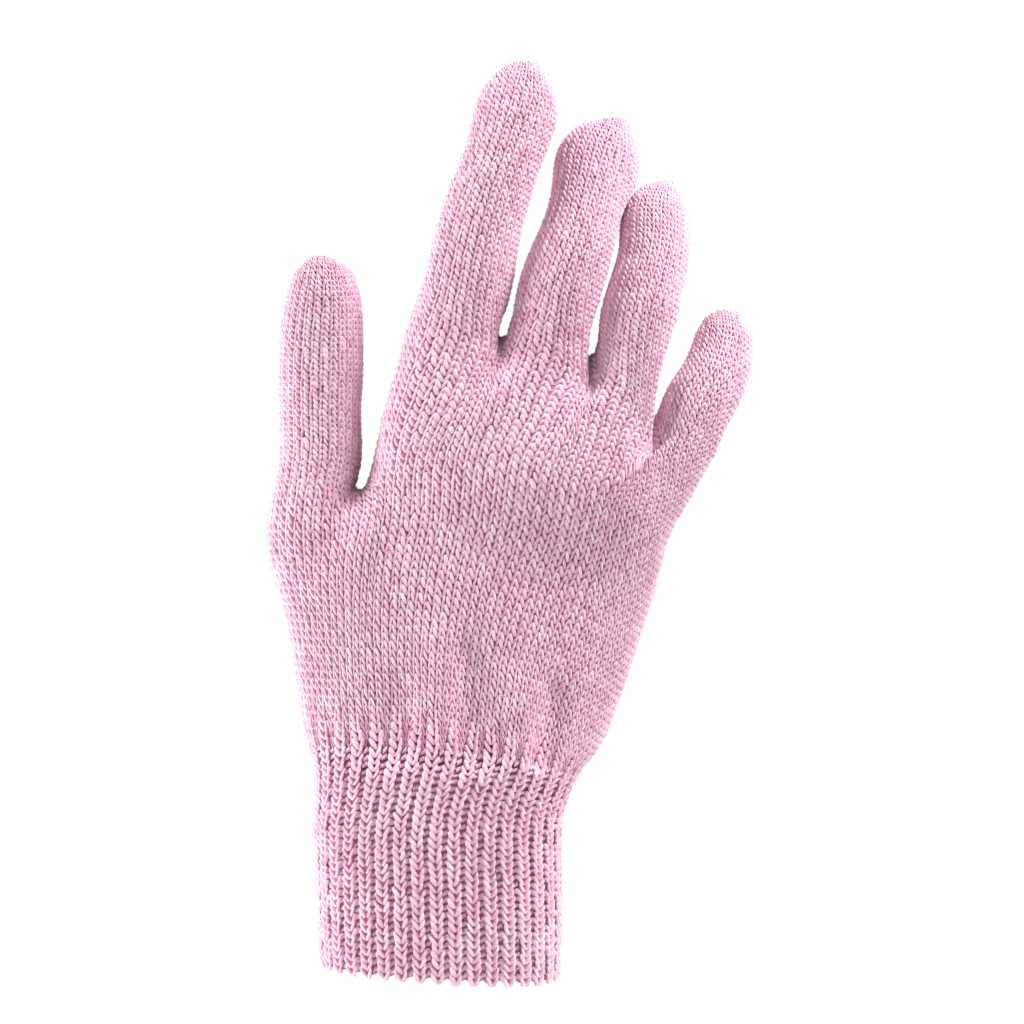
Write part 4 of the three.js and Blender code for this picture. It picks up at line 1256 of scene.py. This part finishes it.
# Stitches of the lower hand end at the thumb's root and at the row where the upper hand takes over
lower, lower_last, carried = lower_hand(grids, points)
upper, upper_first, upper_last, first_wales, last_wales = upper_hand(grids, points, normals)
wales, courses = every_stitch(*LOWER_STITCHES)
middles = wales + 0.5
thumb_wales = [LOWER_LEFT, THUMB_START, THUMB_START + FACE / 2, THUMB_END]
thumb_columns = np.arange(len(thumb_wales)) * FINE_PER_FACE
front_ends = np.interp(middles, thumb_wales, lower_last[thumb_columns])
back_ends = np.interp(2 * LEVEL_RIGHT - middles, thumb_wales, lower_last[-1 - thumb_columns])
ends = np.where(middles < THUMB_END, front_ends, np.interp(middles, first_wales, upper_first))
ends = np.where(middles > 2 * LEVEL_RIGHT - THUMB_END, back_ends, ends)
keep = courses + 0.5 < ends
wales, courses = wales[keep], courses[keep]
# Wales between the carried ribs sink near the cuff and are painted darker there as shade
sinks = np.where(np.isin(wales, carried), 0.0, RIB_SINK) * (1 - smooth_step(courses / RIB_FADE_COURSES))
lower_front, lower_back = knitted_halves(lower, wales, courses, random, sinks)

# The upper hand, and the cloth between the fingers
wales, courses = every_stitch(*UPPER_STITCHES)
started = courses + 0.5 >= np.interp(wales + 0.5, first_wales, upper_first)
keep = started & (courses + 0.5 < np.interp(wales + 0.5, last_wales, upper_last))
wales, courses = wales[keep], courses[keep]
upper_front, upper_back = knitted_halves(upper, wales, courses, random, np.zeros(len(wales)))
web_parts = []
for number, wale_count in enumerate(WEB_WALES):
    grid = grids["web_%d" % number]
    web_parts.append(knitted_patch(points[grid], normals[grid], wale_count, WEB_COURSES, random))
tube_piece("knit_hand_back", "hand", plain_yarn, [lower_front, upper_front])
tube_piece("knit_palm", "hand", plain_yarn, [lower_back, upper_back] + web_parts)

# The fingers: the tube, the front and back of the tip, and its two sides with their tufts
for name in FINGERS:
    tube, root, root_wales, last = finger_cloth(name, grids[name], points, normals)
    wales, courses = every_stitch(0, FINGER_WALES, int(root.min()), int(last))
    keep = courses + 0.5 >= np.interp(wales + 0.5, root_wales, root)
    parts = [knitted(tube, wales[keep], courses[keep], random)]
    for side in ("front", "back"):
        grid = grids[name + "." + side]
        count = max(2, int(round(column_lengths(points[grid])[-1].mean() / FINGER_COURSE)))
        parts.append(knitted_patch(points[grid], normals[grid], FACE, count, random))
    for side, count in TUFT_ENDS.items():
        grid = grids[name + "." + side]
        corner = corner_grid(points[grid])
        parts.append(knitted_patch(corner, corner_grid(normals[grid]), FACE, CORNER_COURSES, random))
        seam_end = grid[-2, 1]
        parts.append(tuft(points[seam_end], normals[seam_end], random, count))
    tube_piece("knit_" + name, name, plain_yarn, parts)

# The cuff: its knit ribs, and the bars across its furrows
rib_cloth = RibCloth(grids, points)
ribs, courses = every_stitch(0, RIB_COUNT, 0, CUFF_COURSES)
rib_parts = knitted(RibWales(rib_cloth), ribs, courses, random, 0.0, (RIB_LEFT_LEG, RIB_RIGHT_LEG))
tube_piece("knit_ribs", "ribbed_cuff", rib_yarn, [rib_parts])
tube_piece("purl_bars", "ribbed_cuff", rib_yarn, [purl_bars(rib_cloth, random)])

# The cloth behind them, from every second row and column of the cuff's fine grid
outer = rib_cloth.surface - rib_cloth.surface_normals * BACKING_DEPTH
inner = rib_cloth.plain - grid_normals(rib_cloth.plain) * INNER_DEPTH
outer, inner = [layer[:CUFF_ROWS + 1:2, :-1:2] for layer in (outer, inner)]
size = outer.shape[0] * outer.shape[1]
numbers = np.arange(size).reshape(outer.shape[:2])
cuff_points = np.concatenate([outer.reshape(-1, 3), inner.reshape(-1, 3)])
cuff_quads = np.concatenate([
    grid_quads(numbers), (grid_quads(numbers) + size)[:, ::-1],
    rim_quads(numbers[0], numbers[0] + size), rim_quads(numbers[-1], numbers[-1] + size)[:, ::-1]])
mesh_piece("backing_cuff", "ribbed_cuff", backing, cuff_points, cuff_quads)

# A pale floor below, well clear of the rim
FLOOR_LEVEL = -0.15
FLOOR_RADIUS = 0.6
bpy.ops.mesh.primitive_circle_add(
    vertices=96, radius=FLOOR_RADIUS, fill_type="NGON", location=(0.0, 0.0, FLOOR_LEVEL))
floor = bpy.context.object
floor.name = "floor"
FLOOR_COLOUR = (0.9, 0.9, 0.9, 1.0)
floor.data.materials.append(Nodes("pale_floor").surface({"Base Color": FLOOR_COLOUR, "Roughness": 0.8}))

# Studio light: a white backdrop that lights the glove only a little
SURROUND = 0.08
world = bpy.data.worlds.new("studio")
bpy.context.scene.world = world
world.use_nodes = True
sky = world.node_tree
ray = sky.nodes.new("ShaderNodeLightPath").outputs["Is Camera Ray"]
seen = sky.nodes.new("ShaderNodeMapRange")
sky.links.new(ray, seen.inputs["Value"])
seen.inputs["To Min"].default_value = SURROUND
seen.inputs["To Max"].default_value = 1.0
sky.links.new(seen.outputs[0], sky.nodes["Background"].inputs["Strength"])
sky.nodes["Background"].inputs["Color"].default_value = (1.0, 1.0, 1.0, 1.0)

# Three soft lamps in front, and two weaker ones behind that light the glove's back and edges
MIDDLE = (0.0185, 0.0, 0.1173)
LAMPS = [
    ("left_lamp", (-1.0, -0.14, 0.35), 0.35, 14.0),
    ("right_lamp", (0.65, -0.20, 0.95), 0.35, 18.5),
    ("front_lamp", (-0.30, -1.0, 0.75), 0.60, 2.6),
    ("back_left_lamp", (-0.80, 0.55, 0.40), 0.50, 4.0),
    ("back_right_lamp", (0.80, 0.55, 0.60), 0.50, 3.2),
]
for name, place, size, power in LAMPS:
    light = bpy.data.lights.new(name, "AREA")
    light.size = size
    light.energy = power
    lamp = bpy.data.objects.new(name, light)
    bpy.context.collection.objects.link(lamp)
    lamp.location = place
    aim = np.array(MIDDLE) - np.array(place)
    lamp.rotation_euler = (math.atan2(math.hypot(aim[0], aim[1]), -aim[2]), 0.0, math.atan2(-aim[0], aim[1]))

# The camera looks level at the back of the hand
CAMERA_DISTANCE = 0.65
VIEW_WIDTH = 0.26624
SENSOR_WIDTH = 36.0
camera_data = bpy.data.cameras.new("camera")
camera_data.sensor_width = SENSOR_WIDTH
camera_data.lens = SENSOR_WIDTH * CAMERA_DISTANCE / VIEW_WIDTH
camera = bpy.data.objects.new("camera", camera_data)
bpy.context.collection.objects.link(camera)
camera.location = (0.01885, -CAMERA_DISTANCE, 0.1173)
camera.rotation_euler = (math.radians(90), 0.0, 0.0)
bpy.context.scene.camera = camera
bpy.context.scene.view_settings.view_transform = "Standard"
